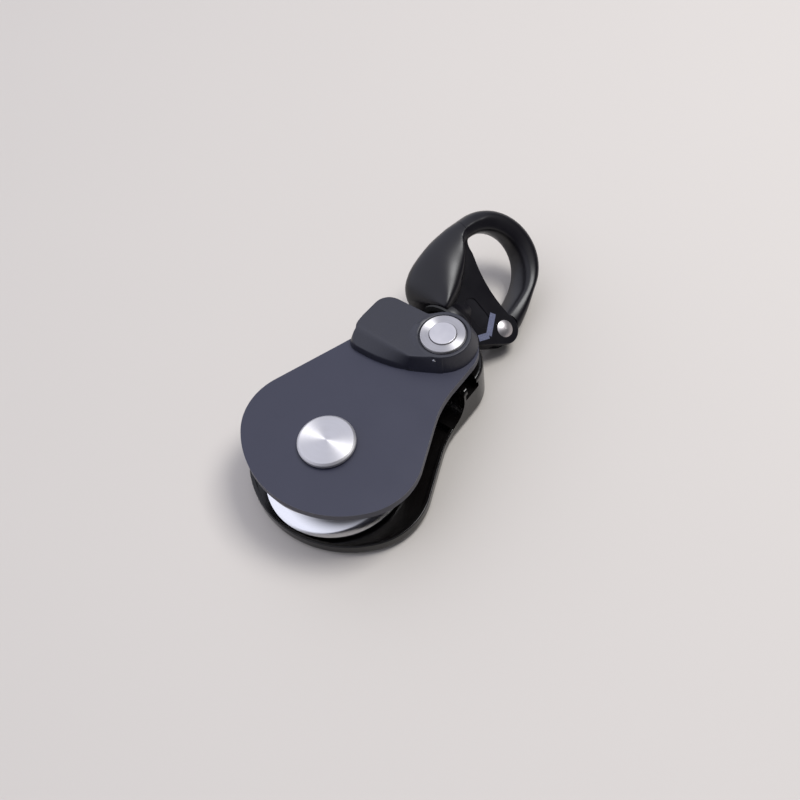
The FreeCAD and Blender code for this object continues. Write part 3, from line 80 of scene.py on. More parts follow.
class ShaderTree:
    """One shader tree, filled node by node."""

    def __init__(self, tree: Tree) -> None:
        """Take an empty tree to fill."""
        self.tree = tree
        self.tree.nodes.clear()

    def add(self, kind: str, settings: dict | None = None, inputs: dict | None = None) -> Node:
        """Place a node.

        Args:
            kind: The node's type.
            settings: Values of the node's own properties.
            inputs: Values of its inputs, or other nodes' outputs to join to them.

        Returns:
            The new node.
        """
        node = self.tree.nodes.new(kind)
        for key, value in (settings or {}).items():
            setattr(node, key, value)
        for key, value in (inputs or {}).items():
            self.feed(node, key, value)
        return node

    def feed(self, node: Node, key: str | int, value: object) -> None:
        """Set one input, or join it where the value is another node's output.

        Args:
            node: The node that takes the value.
            key: The input's name or number.
            value: A plain value, or an output socket.
        """
        if isinstance(value, Output):
            self.tree.links.new(value, node.inputs[key])
        else:
            node.inputs[key].default_value = value

    def math(self, operation: str, first: object, second: object = 0.0) -> Output:
        """Work out one sum of two values and give its output."""
        return self.add("ShaderNodeMath", {"operation": operation}, {0: first, 1: second}).outputs[0]

    def plus(self, first: object, second: object) -> Output:
        """Add two values."""
        return self.math("ADD", first, second)

    def times(self, first: object, second: object) -> Output:
        """Multiply two values."""
        return self.math("MULTIPLY", first, second)

    def blend(self, first: Output, second: Output, share: float) -> Output:
        """Add two values, the first by a share and the second by the rest."""
        return self.plus(self.times(first, share), self.times(second, 1 - share))

    def spread(self, value: Output, low: float, high: float, start: float = 0.3,
               end: float = 0.7) -> Output:
        """Stretch a value between two ends.

        Args:
            value: The output to stretch.
            low: The result at the range's start.
            high: The result at the range's end.
            start: Where the range starts.
            end: Where the range ends.

        Returns:
            The stretched output.
        """
        return self.add("ShaderNodeMapRange", None, {
            "Value": value, "From Min": start, "From Max": end, "To Min": low, "To Max": high}).outputs[0]

    def mix(self, share: object, first: object, second: object) -> Output:
        """Mix two colours by a share and give the result's output."""
        values = {0: share, 6: first, 7: second}
        return self.add("ShaderNodeMix", {"data_type": "RGBA"}, values).outputs[2]

    def noise(self, vector: Output, scale: object, detail: float, roughness: float = 0.5) -> Output:
        """Lay a noise and give its value."""
        return self.add("ShaderNodeTexNoise", None, {
            "Vector": vector, "Scale": scale, "Detail": detail, "Roughness": roughness}).outputs[0]

    def own_space(self) -> Output:
        """Give each point's place in the piece's own space."""
        return self.add("ShaderNodeTexCoord").outputs["Object"]

    def vector(self, operation: str, first: object, second: object = (0.0, 0.0, 0.0)) -> Node:
        """Place the node of one vector sum of two values."""
        return self.add("ShaderNodeVectorMath", {"operation": operation}, {0: first, 1: second})

    def split(self, value: Output) -> bpy.types.bpy_prop_collection:
        """Take a vector apart and give its three outputs."""
        return self.add("ShaderNodeSeparateXYZ", None, {0: value}).outputs

    def place(self, group: Tree, inputs: dict) -> Node:
        """Place a shared effect's group with its own values."""
        return self.add("ShaderNodeGroup", {"node_tree": group}, inputs)


class Socket(Enum):
    """The kinds of socket that the shared effects have."""

    VALUE = "NodeSocketFloat"
    COLOUR = "NodeSocketColor"
    VECTOR = "NodeSocketVector"


class SharedEffect:
    """A shader node group that several finishes use."""

    def __init__(self, name: str, takes: dict[str, Socket], gives: dict[str, Socket]) -> None:
        """Start the group with its named inputs and outputs.

        Args:
            name: The group's name.
            takes: Each input's name and kind.
            gives: Each output's name and kind.
        """
        self.group = bpy.data.node_groups.new(name, "ShaderNodeTree")
        for label, kind in takes.items():
            self.group.interface.new_socket(label, in_out="INPUT", socket_type=kind.value)
        for label, kind in gives.items():
            self.group.interface.new_socket(label, in_out="OUTPUT", socket_type=kind.value)
        self.steps = ShaderTree(self.group)
        self.start = self.steps.add("NodeGroupInput").outputs
        self.end = self.steps.add("NodeGroupOutput")

    def give(self, label: str, value: Output) -> None:
        """Join a value to one of the group's outputs."""
        self.steps.feed(self.end, label, value)


def make_grain_effect() -> Tree:
    """Make the fine grain and slow cloudiness that every coated surface has.

    Returns:
        The group, with a fine Grain and a broad Cloud, both from 0 to 1.
    """
    effect = SharedEffect(
        "surface_grain",
        {"Vector": Socket.VECTOR, "Grain Scale": Socket.VALUE, "Cloud Scale": Socket.VALUE},
        {"Grain": Socket.VALUE, "Cloud": Socket.VALUE})
    for label, detail in (("Grain", 2.0), ("Cloud", 3.0)):
        scale = effect.start[label + " Scale"]
        effect.give(label, effect.steps.noise(effect.start["Vector"], scale, detail, 0.6))
    return effect.group


def make_edge_wear_and_highlight_effect() -> Tree:
    """Make the pale line along an edge, broken up by a noise: partly a coating worn thin, and partly a
    painted highlight for the light that the edge catches.

    Returns:
        The group, with the mixed Color.
    """
    effect = SharedEffect(
        "worn_and_highlit_edges", {"Vector": Socket.VECTOR, "Color": Socket.COLOUR, "Worn And Highlit Color": Socket.COLOUR,
                       "Amount": Socket.VALUE},
        {"Color": Socket.COLOUR})
    steps, start = effect.steps, effect.start
    worn_and_highlit_edge = steps.add("ShaderNodeAttribute", {"attribute_name": "edge_wear_and_highlight"}).outputs["Fac"]
    broken = steps.spread(steps.noise(start["Vector"], EDGE_WEAR_AND_HIGHLIGHT_PATCHES, 4.0), 0.45, 1.0)
    mask = steps.times(steps.times(worn_and_highlit_edge, broken), start["Amount"])
    effect.give("Color", steps.mix(mask, start["Color"], start["Worn And Highlit Color"]))
    return effect.group


def make_turning_effect() -> Tree:
    """Make the fine rings that a lathe or a brushing wheel leaves about an axis along Z.

    Returns:
        The group, with the Lines of the rings and the slower Bands between them.
    """
    effect = SharedEffect("turning_marks", {"Vector": Socket.VECTOR, "Line Scale": Socket.VALUE},
                          {"Lines": Socket.VALUE, "Bands": Socket.VALUE})
    steps, start = effect.steps, effect.start
    flat = steps.vector("MULTIPLY", start["Vector"], (1, 1, 0)).outputs[0]
    radius = steps.vector("LENGTH", flat).outputs["Value"]
    way = steps.split(steps.vector("NORMALIZE", flat).outputs[0])
    depth = steps.split(start["Vector"])[2]
    for label, factor, breaks in (("Lines", 1.0, 1.6), ("Bands", 0.16, 0.5)):
        scale = steps.times(start["Line Scale"], factor)
        spot = steps.add("ShaderNodeCombineXYZ", None, {
            0: steps.plus(steps.times(radius, scale), steps.times(depth, scale)),
            1: steps.times(way[0], breaks), 2: steps.times(way[1], breaks)})
        effect.give(label, steps.noise(spot.outputs[0], 1.0, 3.0))
    return effect.group


# The edges' paler colour is partly wear and partly a painted highlight; this is the scale of the noise that
# breaks it up.
EDGE_WEAR_AND_HIGHLIGHT_PATCHES = 420.0
GRAIN = make_grain_effect()
EDGE_WEAR_AND_HIGHLIGHT = make_edge_wear_and_highlight_effect()
TURNING = make_turning_effect()


# Finishes


@dataclass(frozen=True)
class Finish:
    """What every finish has: its name, its colour and how dull it is."""

    name: str
    colour: Colour
    roughness: float
    CLOUDS = 3.0
    SHADES = (0.98, 1.02)
    SHEEN = (0.02, 0.02)
    RELIEF = 0.3

    def material(self) -> bpy.types.Material:
        """Give the finish's material, made the first time it is asked for.

        Returns:
            The material.
        """
        made = bpy.data.materials.get(self.name)
        if made is None:
            made = bpy.data.materials.new(self.name)
            made.use_nodes = True
            steps = ShaderTree(made.node_tree)
            shader = steps.add("ShaderNodeBsdfPrincipled")
            steps.add("ShaderNodeOutputMaterial", None, {"Surface": shader.outputs[0]})
            self.fill(steps, shader)
        return made

    def fill(self, steps: ShaderTree, shader: Node) -> None:
        """Fill the material's tree; each kind of finish has its own way."""
        raise NotImplementedError

    def shade(self, depth: float) -> tuple[float, float, float, float]:
        """Give the finish's colour times a depth, as a node takes it."""
        return tuple(part * depth for part in self.colour) + (1.0,)

    def grain(self, steps: ShaderTree, spot: Output, scale: float) -> tuple[Output, Output]:
        """Place the grain effect and give its fine grain and its broad clouds.

        Args:
            steps: The material's tree.
            spot: The place of each point.
            scale: The fine grain's scale.

        Returns:
            The outputs of the grain and of the clouds.
        """
        made = steps.place(GRAIN, {"Vector": spot, "Grain Scale": scale, "Cloud Scale": self.CLOUDS})
        return made.outputs["Grain"], made.outputs["Cloud"]

    def tone(self, steps: ShaderTree, share: Output) -> Output:
        """Mix the finish's darker and paler shades by a share."""
        darker, paler = self.SHADES
        return steps.mix(share, self.shade(darker), self.shade(paler))

    def lay(self, steps: ShaderTree, shader: Node, tone: Output, sheen: Output, height: Output,
            depth: float) -> None:
        """Join the colour, the gloss and the relief to the surface shader.

        Args:
            steps: The material's tree.
            shader: The surface shader.
            tone: The colour's output.
            sheen: The value that the gloss follows.
            height: The relief's output.
            depth: The relief's depth in millimetres.
        """
        less, more = self.SHEEN
        gloss = steps.spread(sheen, self.roughness - less, self.roughness + more)
        bump = steps.add("ShaderNodeBump", None, {
            "Height": height, "Distance": depth * MM, "Strength": self.RELIEF})
        for socket, value in (("Base Color", tone), ("Roughness", gloss), ("Normal", bump.outputs[0])):
            steps.feed(shader, socket, value)


@dataclass(frozen=True)
class CoatedMetal(Finish):
    """Anodised or blackened metal: an even dark film with a fine grain, and paler edges that are partly
    wear and partly a painted highlight.
    """

    # The paler edge colour and its amount (edge) paint wear and an edge highlight together.
    worn_and_highlit_edge: Colour
    speck: float
    depth: float
    edge: float
    specular: float = 0.5
    CLOUDS = 60.0
    FINE_SHARE = 0.55
    SHADES = (0.78, 1.22)
    SHEEN = (0.05, 0.06)
    RELIEF = 1.0

    def fill(self, steps: ShaderTree, shader: Node) -> None:
        """Lay the film, its grain, its paled edges, which are wear and painted highlight together, and its
        small changes of gloss.

        Args:
            steps: The material's tree.
            shader: The surface shader that it feeds.
        """
        spot = steps.own_space()
        fine, clouds = self.grain(steps, spot, 1 / (self.speck * MM))
        worn_and_highlit_edge = steps.place(EDGE_WEAR_AND_HIGHLIGHT, {
            "Vector": spot, "Color": self.tone(steps, steps.blend(fine, clouds, self.FINE_SHARE)),
            "Worn And Highlit Color": self.worn_and_highlit_edge + (1.0,), "Amount": self.edge})
        shader.inputs["Specular IOR Level"].default_value = self.specular
        self.lay(steps, shader, worn_and_highlit_edge.outputs["Color"], clouds, fine, self.depth)


@dataclass(frozen=True)
class MouldedPlastic(Finish):
    """Glass-filled nylon or rubber: pebbled by its mould, with a slightly polished rub."""

    pebble: float
    depth: float
    specular: float = 0.5
    CLOUDS = 110.0
    SHADES = (0.72, 1.3)
    SHEEN = (0.06, 0.05)
    RELIEF = 0.8
    CELL = 1.6
    CELL_SHARE = 0.7

    def fill(self, steps: ShaderTree, shader: Node) -> None:
        """Lay the pebbled skin over the colour.

        Args:
            steps: The material's tree.
            shader: The surface shader that it feeds.
        """
        spot = steps.own_space()
        fine, clouds = self.grain(steps, spot, 1 / (self.pebble * MM))
        cells = steps.add("ShaderNodeTexVoronoi", {"feature": "F1"}, {
            "Vector": spot, "Scale": 1 / (self.pebble * self.CELL * MM)})
        height = steps.plus(fine, steps.times(cells.outputs["Distance"], self.CELL_SHARE))
        tone = self.tone(steps, steps.spread(fine, 0.0, 1.0, 0.35, 0.65))
        shader.inputs["Specular IOR Level"].default_value = self.specular
        self.lay(steps, shader, tone, clouds, height, self.depth)


class Brushing(Enum):
    """Which way the fine lines of a bright metal run."""

    RINGS = "rings"
    PLAIN = "plain"


@dataclass(frozen=True)
class BrightMetal(Finish):
    """Bare metal that was turned, brushed or ground, with lines about its own axis."""

    brushing: Brushing
    axis: Point
    pitch: float
    depth: float = 0.003
    anisotropy: float = 0.0
    contrast: float = 0.1
    CLOUDS = 150.0
    SHEEN = (0.05, 0.07)
    RELIEF = 0.6

    def fill(self, steps: ShaderTree, shader: Node) -> None:
        """Lay the lines, the slow bands between them and the stretched highlight.

        Args:
            steps: The material's tree.
            shader: The surface shader that it feeds.
        """
        centred = steps.add("ShaderNodeMapping", None, {
            "Vector": steps.own_space(),
            "Location": (-self.axis[0] * MM, -self.axis[1] * MM, 0.0)}).outputs[0]
        scale = 1 / (self.pitch * MM)
        if self.brushing is Brushing.RINGS:
            lines, bands = steps.place(TURNING, {"Vector": centred, "Line Scale": scale}).outputs
        else:
            lines, bands = self.grain(steps, centred, scale)
        darker, paler = self.shade(1.0 - self.contrast), self.shade(1.0 + self.contrast)
        tone = steps.mix(steps.blend(lines, bands, 0.5), darker, paler)
        shader.inputs["Metallic"].default_value = 1.0
        shader.inputs["Anisotropic"].default_value = self.anisotropy
        if self.anisotropy > 0:
            outward = steps.vector("MULTIPLY", centred, (1, 1, 0)).outputs[0]
            in_world = steps.add("ShaderNodeVectorTransform", {
                "vector_type": "VECTOR", "convert_from": "OBJECT", "convert_to": "WORLD"}, {0: outward})
            steps.feed(shader, "Tangent", steps.vector("NORMALIZE", in_world.outputs[0]).outputs[0])
        self.lay(steps, shader, tone, bands, lines, self.depth)


@dataclass(frozen=True)
class StudioPaper(Finish):
    """The pale matt paper that the block stands on."""

    TOOTH = 900.0
    DEPTH = 0.02

    def fill(self, steps: ShaderTree, shader: Node) -> None:
        """Lay the paper's faint tooth.

        Args:
            steps: The material's tree.
            shader: The surface shader that it feeds.
        """
        fine, clouds = self.grain(steps, steps.own_space(), self.TOOTH)
        self.lay(steps, shader, self.tone(steps, clouds), fine, fine, self.DEPTH)


MIDDLE = (0.0, 0.0)
STUD_AXIS = (9.2, 56.1)
RINGS, PLAIN = Brushing.RINGS, Brushing.PLAIN
# The paler edge colours and amounts of these films paint edge wear together with an edge highlight.
CHARCOAL = CoatedMetal(
    "charcoal_anodising", (0.0165, 0.0175, 0.036), 0.42, (0.2, 0.2, 0.23), 0.16, 0.003, 0.8)
GLOSS_BLACK = CoatedMetal(
    "gloss_black_anodising", (0.0034, 0.0028, 0.0026), 0.19, (0.06, 0.06, 0.065), 0.3, 0.0015, 0.5, 0.34)
SATIN_BLACK = CoatedMetal(
    "satin_black_forging", (0.0024, 0.0018, 0.0036), 0.33, (0.03, 0.03, 0.036), 0.22, 0.003, 0.3, 0.36)
NYLON = MouldedPlastic("lever_nylon", (0.008, 0.0085, 0.0165), 0.42, 0.3, 0.014, 0.58)
# The washer is dark plastic, kept near black as painted shade for the dark ring under the axle cap.
WASHER_PLASTIC_AND_SHADE = MouldedPlastic("washer_plastic_and_painted_shade", (0.012, 0.012, 0.014), 0.5, 0.3, 0.006)
SEAL_RUBBER = MouldedPlastic("seal_rubber", (0.014, 0.014, 0.014), 0.62, 0.4, 0.01, 0.35)
GREY_INLAY = MouldedPlastic("mark_inlay", (0.125, 0.135, 0.205), 0.4, 0.3, 0.004)
CAP_STEEL = BrightMetal(
    "cap_brushed_steel", (0.53, 0.52, 0.525), 0.42, RINGS, MIDDLE, 0.1, 0.0006, 0.78, 0.06)
RING_STEEL = BrightMetal(
    "ring_satin_steel", (0.46, 0.45, 0.455), 0.42, RINGS, STUD_AXIS, 0.11, 0.0006, 0.9, 0.06)
SCREW_STEEL = BrightMetal("screw_satin_steel", (0.47, 0.46, 0.475), 0.38, PLAIN, STUD_AXIS, 0.15, 0.001)
RIVET_STEEL = BrightMetal("rivet_steel", (0.5, 0.47, 0.47), 0.36, PLAIN, MIDDLE, 0.2, 0.002)
SHEAVE_ALUMINIUM = BrightMetal(
    "sheave_turned_aluminium", (0.7, 0.7, 0.71), 0.16, RINGS, MIDDLE, 0.22, 0.0012, 0.0, 0.05)
GROUND_STEEL = BrightMetal("ground_steel", (0.52, 0.52, 0.54), 0.28, RINGS, MIDDLE, 0.14, 0.0016)
DARK_STEEL = BrightMetal("blackened_steel", (0.07, 0.07, 0.075), 0.36, PLAIN, MIDDLE, 0.16)
BALL_STEEL = BrightMetal("ball_polish", (0.82, 0.82, 0.84), 0.06, PLAIN, MIDDLE, 0.5, 0.0004)
# Near-black bronze: the bush's dark colour is painted shade for the gap where it sits, not a blackened
# finish.
BRONZE_DARKENED_AS_SHADE = BrightMetal("bronze_darkened_as_painted_shade", (0.02, 0.016, 0.012), 0.5, PLAIN, MIDDLE, 0.25)
BRONZE = BrightMetal("oiled_bronze", (0.56, 0.37, 0.19), 0.35, PLAIN, MIDDLE, 0.25, 0.003, 0.0, 0.16)
PAPER = StudioPaper("studio_paper", (0.56, 0.525, 0.48), 0.85)

METAL_PART_FINISHES: dict[Finish, tuple[str, ...]] = {
    GLOSS_BLACK: ("frame",),
    GROUND_STEEL: (
        "axle", "rear_spacer", "front_spacer", "bearing_inner_ring", "catch_stud", "lever_spring",
        "lever_pin", "bearing_outer_ring", "front_shield", "rear_shield", "bearing_retainer",
        "swivel_shaft", "swivel_nut", "swivel_nut_pin"),
    # The cap washer's near-black colour doubles as painted shade under the cap.
    WASHER_PLASTIC_AND_SHADE: ("cap_washer",),
    # The swivel bush is darkened as painted shade.
    BRONZE_DARKENED_AS_SHADE: ("swivel_bush",),
    SEAL_RUBBER: ("swivel_seal",),
    BRONZE: ("plate_bush", "bearing_cage", "thrust_washer", "gate_bush"),
    SHEAVE_ALUMINIUM: ("sheave",),
    BALL_STEEL: ("bearing_balls",),
    RIVET_STEEL: ("gate_rivet",),
    DARK_STEEL: ("gate_lock_screw",),
    GREY_INLAY: ("eye_mark",),
}


# Drawing and shaping


class Pen:
    """Draws one flat closed outline in a bmesh, from straight runs and spun arcs."""

    def __init__(self, mesh: Mesh, across: float, along: float, up: float = 0.0) -> None:
        """Put the pen down at the outline's first corner.

        Args:
            mesh: The bmesh to draw in.
            across: The corner's place along X.
            along: The corner's place along Y.
            up: The level of the whole outline.
        """
        self.mesh = mesh
        self.up = up
        self.first = mesh.verts.new((across, along, up))
        self.tip = self.first
        self.edges: Edges = []

    def line(self, across: float, along: float) -> "Pen":
        """Draw a straight run to a corner.

        Args:
            across: The corner's place along X.
            along: The corner's place along Y.

        Returns:
            The pen itself.
        """
        corner = self.mesh.verts.new((across, along, self.up))
        self.edges.append(self.mesh.edges.new((self.tip, corner)))
        self.tip = corner
        return self

    def arc(self, across: float, along: float, turn: float, steps: int = 0) -> "Pen":
        """Swing the tip about a centre.

        Args:
            across: The centre's place along X.
            along: The centre's place along Y.
            turn: The angle, positive against the clock.
            steps: The number of short runs, or 0 for one every three degrees.

        Returns:
            The pen itself.
        """
        centre = Vector((across, along, self.up))
        known = set(self.mesh.edges)
        swung = bmesh.ops.spin(
            self.mesh, geom=[self.tip], cent=centre, axis=(0, 0, 1), angle=math.radians(turn),
            steps=steps or max(4, round(abs(turn) / 3)), use_merge=False, use_duplicate=False)
        self.tip = swung["geom_last"][0]
        self.edges += [edge for edge in self.mesh.edges if edge not in known]
        return self

    def close(self) -> Edges:
        """Draw the last straight run back to the first corner and give all the edges."""
        self.edges.append(self.mesh.edges.new((self.tip, self.first)))
        return self.edges


def circle(mesh: Mesh, centre: Point, radius: float, up: float, steps: int = 96) -> Edges:
    """Draw a full circle.

    Args:
        mesh: The bmesh to draw in.
        centre: Its centre.
        radius: Its radius.
        up: Its level.
        steps: The number of its edges.

    Returns:
        The circle's edges.
    """
    made = bmesh.ops.create_circle(mesh, segments=steps, radius=radius,
                                   matrix=Matrix.Translation((centre[0], centre[1], up)))
    verts = set(made["verts"])
    return [edge for edge in mesh.edges if edge.verts[0] in verts and edge.verts[1] in verts]


def only(kind: type, items: Iterable) -> list:
    """Pick the faces, edges or corners out of what an operator gives."""
    return [item for item in items if isinstance(item, kind)]


def pairs(items: Sequence) -> Iterable[tuple]:
    """Pair each item with the next one, and the last with the first."""
    return zip(items, items[1:] + items[:1])


def fill_and_raise(mesh: Mesh, edges: Edges, height: float) -> None:
    """Fill flat outlines, with the inner ones as holes, and raise them to a solid.

    Args:
        mesh: The bmesh that holds the outlines.
        edges: The edges of all the outlines, on one level.
        height: How far the solid rises.
    """
    filled = bmesh.ops.triangle_fill(mesh, use_beauty=True, use_dissolve=False, edges=edges)
    faces = only(bmesh.types.BMFace, filled["geom"])
    raised = bmesh.ops.extrude_face_region(mesh, geom=faces, use_keep_orig=True)
    bmesh.ops.translate(mesh, vec=(0, 0, height), verts=only(bmesh.types.BMVert, raised["geom"]))
    bmesh.ops.recalc_face_normals(mesh, faces=mesh.faces)


def slab(corners: Sequence[Point], bottom: float, height: float) -> Mesh:
    """Raise a straight-sided outline to a solid.

    Args:
        corners: The outline's corners in order.
        bottom: The level of its underside.
        height: Its height.

    Returns:
        The solid.
    """
    mesh = bmesh.new()
    pen = Pen(mesh, *corners[0], bottom)
    for corner in corners[1:]:
        pen.line(*corner)
    fill_and_raise(mesh, pen.close(), height)
    return mesh


def disc(centre: Point, radius: float, bottom: float, height: float, steps: int = 96) -> Mesh:
    """Raise a circle to a solid.

    Args:
        centre: The circle's centre.
        radius: Its radius.
        bottom: The level of its underside.
        height: Its height.
        steps: The number of its edges.

    Returns:
        The solid.
    """
    mesh = bmesh.new()
    fill_and_raise(mesh, circle(mesh, centre, radius, bottom, steps), height)
    return mesh


def cut_off(mesh: Mesh, point: Vector, way: Vector) -> Edges:
    """Cut off what lies past a plane and close the cut.

    Args:
        mesh: The solid's bmesh, which is changed.
        point: A point on the plane.
        way: The plane's normal, towards what is cut off.

    Returns:
        The edges round the cut.
    """
    geom = list(mesh.verts) + list(mesh.edges) + list(mesh.faces)
    cut = bmesh.ops.bisect_plane(mesh, geom=geom, plane_co=point, plane_no=way, clear_outer=True)
    rim = only(bmesh.types.BMEdge, cut["geom_cut"])
    bmesh.ops.contextual_create(mesh, geom=rim)
    bmesh.ops.recalc_face_normals(mesh, faces=mesh.faces)
    return rim


def laid(tool: Mesh, place: Point, turn: float, tip: float = 0.0) -> Mesh:
    """Tip a tool about X, turn it about Z and move it to its place.

    Args:
        tool: The tool's bmesh, which is changed.
        place: Where it goes.
        turn: The angle about Z.
        tip: The angle about X, taken first.

    Returns:
        The same tool.
    """
    lie = Matrix.Rotation(math.radians(turn), 4, "Z") @ Matrix.Rotation(math.radians(tip), 4, "X")
    bmesh.ops.transform(tool, matrix=Matrix.Translation((*place, 0)) @ lie, verts=tool.verts)
    return tool


def take_in(body: Mesh, part: Mesh) -> None:
    """Add one bmesh to another.

    Args:
        body: The bmesh that grows.
        part: What it takes in, which is used up.
    """
    data = bpy.data.meshes.new("part")
    part.to_mesh(data)
    part.free()
    body.from_mesh(data)


def sharp_edges(mesh: Mesh, angle: float,
                accept: Callable[[Vector], bool] = lambda middle: True) -> Edges:
    """Find the edges where two faces meet at more than an angle.

    Args:
        mesh: The bmesh to search.
        angle: The least angle between the faces.
        accept: Says from an edge's middle whether it counts.

    Returns:
        The edges.
    """
    least = math.radians(angle)
    return [edge for edge in mesh.edges
            if len(edge.link_faces) == 2 and edge.calc_face_angle(0.0) > least
            and accept((edge.verts[0].co + edge.verts[1].co) / 2)]


def round_edges(mesh: Mesh, edges: Edges, size: float, steps: int = 3) -> None:
    """Round edges and mark the middle of each rounding as the place whose colour is paled, for wear and for
    a painted edge highlight.

    Args:
        mesh: The bmesh to change.
        edges: The edges to round.
        size: The rounding's size.
        steps: The number of its faces.
    """
    edge_wear_and_highlight = mesh.verts.layers.float.get("edge_wear_and_highlight") or mesh.verts.layers.float.new("edge_wear_and_highlight")
    edges = [edge for edge in edges if edge.is_valid]
    made = bmesh.ops.bevel(
        mesh, geom=edges, offset=size, offset_type="OFFSET", segments=steps, profile=0.5, affect="EDGES",
        material=-1, clamp_overlap=True)
    strip = set(made["faces"])
    for face in strip:
        for vert in face.verts:
            if all(other in strip for other in vert.link_faces):
                vert[edge_wear_and_highlight] = 1.0


def turned(mesh: Mesh, section: Sequence[Point], centre: Vector = Vector((0, 0, 0)),
           along_y: bool = False, steps: int = 128) -> None:
    """Spin a section about an axis into a closed solid.

    Args:
        mesh: The bmesh to add to.
        section: Corners as distance from the axis and place along it; both ends lie on the axis, or the
            section is closed.
        centre: Where the axis passes.
        along_y: Whether the axis runs along Y and not Z.
        steps: The number of steps round.
    """
    verts = []
    for reach, place in section:
        spot = Vector((reach, place, 0)) if along_y else Vector((reach, 0, place))
        verts.append(mesh.verts.new(centre + spot))
    edges = [mesh.edges.new(pair) for pair in zip(verts, verts[1:])]
    if section[0][0] > 0:
        edges.append(mesh.edges.new((verts[-1], verts[0])))
    bmesh.ops.spin(mesh, geom=verts + edges, cent=centre, axis=(0, 1, 0) if along_y else (0, 0, 1),
                   angle=math.tau, steps=steps, use_merge=True, use_duplicate=False)
    bmesh.ops.remove_doubles(mesh, verts=mesh.verts, dist=SAME_PLACE)
    bmesh.ops.recalc_face_normals(mesh, faces=mesh.faces)


def grow(mesh: Mesh, edges: Edges, move: Callable[[Vector], Vector]) -> Edges:
    """Extrude a closed row of edges and move the new row.

    Args:
        mesh: The bmesh to change.
        edges: The row of edges.
        move: Gives a new corner's place from its old one.

    Returns:
        The new row of edges.
    """
    made = bmesh.ops.extrude_edge_only(mesh, edges=edges)["geom"]
    for vert in only(bmesh.types.BMVert, made):
        vert.co = move(vert.co)
    return only(bmesh.types.BMEdge, made)


def soft_lower(first: float, second: float, blend: float) -> float:
    """Give the lower of two heights, with a soft passage of a given breadth between them."""
    share = max(blend - abs(first - second), 0.0) / blend
    return min(first, second) - share * share * blend / 4


def soft_higher(first: float, second: float, blend: float) -> float:
    """Give the higher of two heights, with a soft passage of a given breadth between them."""
    return -soft_lower(-first, -second, blend)


def as_object(mesh: Mesh, name: str) -> Object:
    """Make a Blender object of a bmesh as it stands, in millimetres.

    Args:
        mesh: The bmesh, which is used up.
        name: The object's name.

    Returns:
        The object.
    """
    data = bpy.data.meshes.new(name)
    mesh.to_mesh(data)
    mesh.free()
    thing = bpy.data.objects.new(name, data)
    bpy.context.collection.objects.link(thing)
    return thing


def settled(thing: Object) -> Mesh:
    """Apply an object's modifiers, take its mesh back as a bmesh and delete the object.

    Args:
        thing: The object, which is deleted.

    Returns:
        The bmesh.
    """
    graph = bpy.context.evaluated_depsgraph_get()
    data = bpy.data.meshes.new_from_object(thing.evaluated_get(graph))
    mesh = bmesh.new()
    mesh.from_mesh(data)
    bpy.data.objects.remove(thing)
    return mesh


def carved(body: Mesh, tools: Iterable[Mesh]) -> Mesh:
    """Cut closed tools from a closed body.

    Args:
        body: The body's bmesh, which is used up.
        tools: The tools' bmeshes, which are used up too.

    Returns:
        What is left of the body.
    """
    blank = as_object(body, "blank")
    cutters = [as_object(tool, "tool") for tool in tools]
    for cutter in cutters:
        step = blank.modifiers.new("cut", "BOOLEAN")
        step.operation = "DIFFERENCE"
        step.solver = "EXACT"
        step.object = cutter
    left = settled(blank)
    for cutter in cutters:
        bpy.data.objects.remove(cutter)
    return left


@dataclass(frozen=True)
class Seat:
    """Where a finished piece belongs: the body it moves with, its slot and the parts it stands for."""

    body: str
    slot: str
    stands_for: tuple[str, ...] = ()


def make_piece(name: str, mesh: Mesh, finish: Finish, seat: Seat, place: Matrix = Matrix.Identity(4),
               smooth: float = 35.0) -> Object:
    """Bring a bmesh to metres and make it a finished piece of the block.

    Args:
        name: The piece's name.
        mesh: Its bmesh, in millimetres, which is used up.
        finish: Its finish.
        seat: Where it belongs.
        place: Turns and moves the mesh, in millimetres, to its place.
        smooth: The angle between faces past which an edge stays sharp.

    Returns:
        The piece.
    """
    bmesh.ops.transform(mesh, matrix=Matrix.Scale(MM, 4) @ place, verts=mesh.verts)
    for face in mesh.faces:
        face.smooth = True
    piece = as_object(mesh, name)
    piece.data.set_sharp_from_angle(angle=math.radians(smooth))
    piece.data.materials.append(finish.material())
    piece.modifiers.new("flat_faces", "WEIGHTED_NORMAL").keep_sharp = True
    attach(piece, seat.body)
    if seat.stands_for:
        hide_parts(*seat.stands_for)
    return piece


# The moving side: plate, stud ring, screw and lever


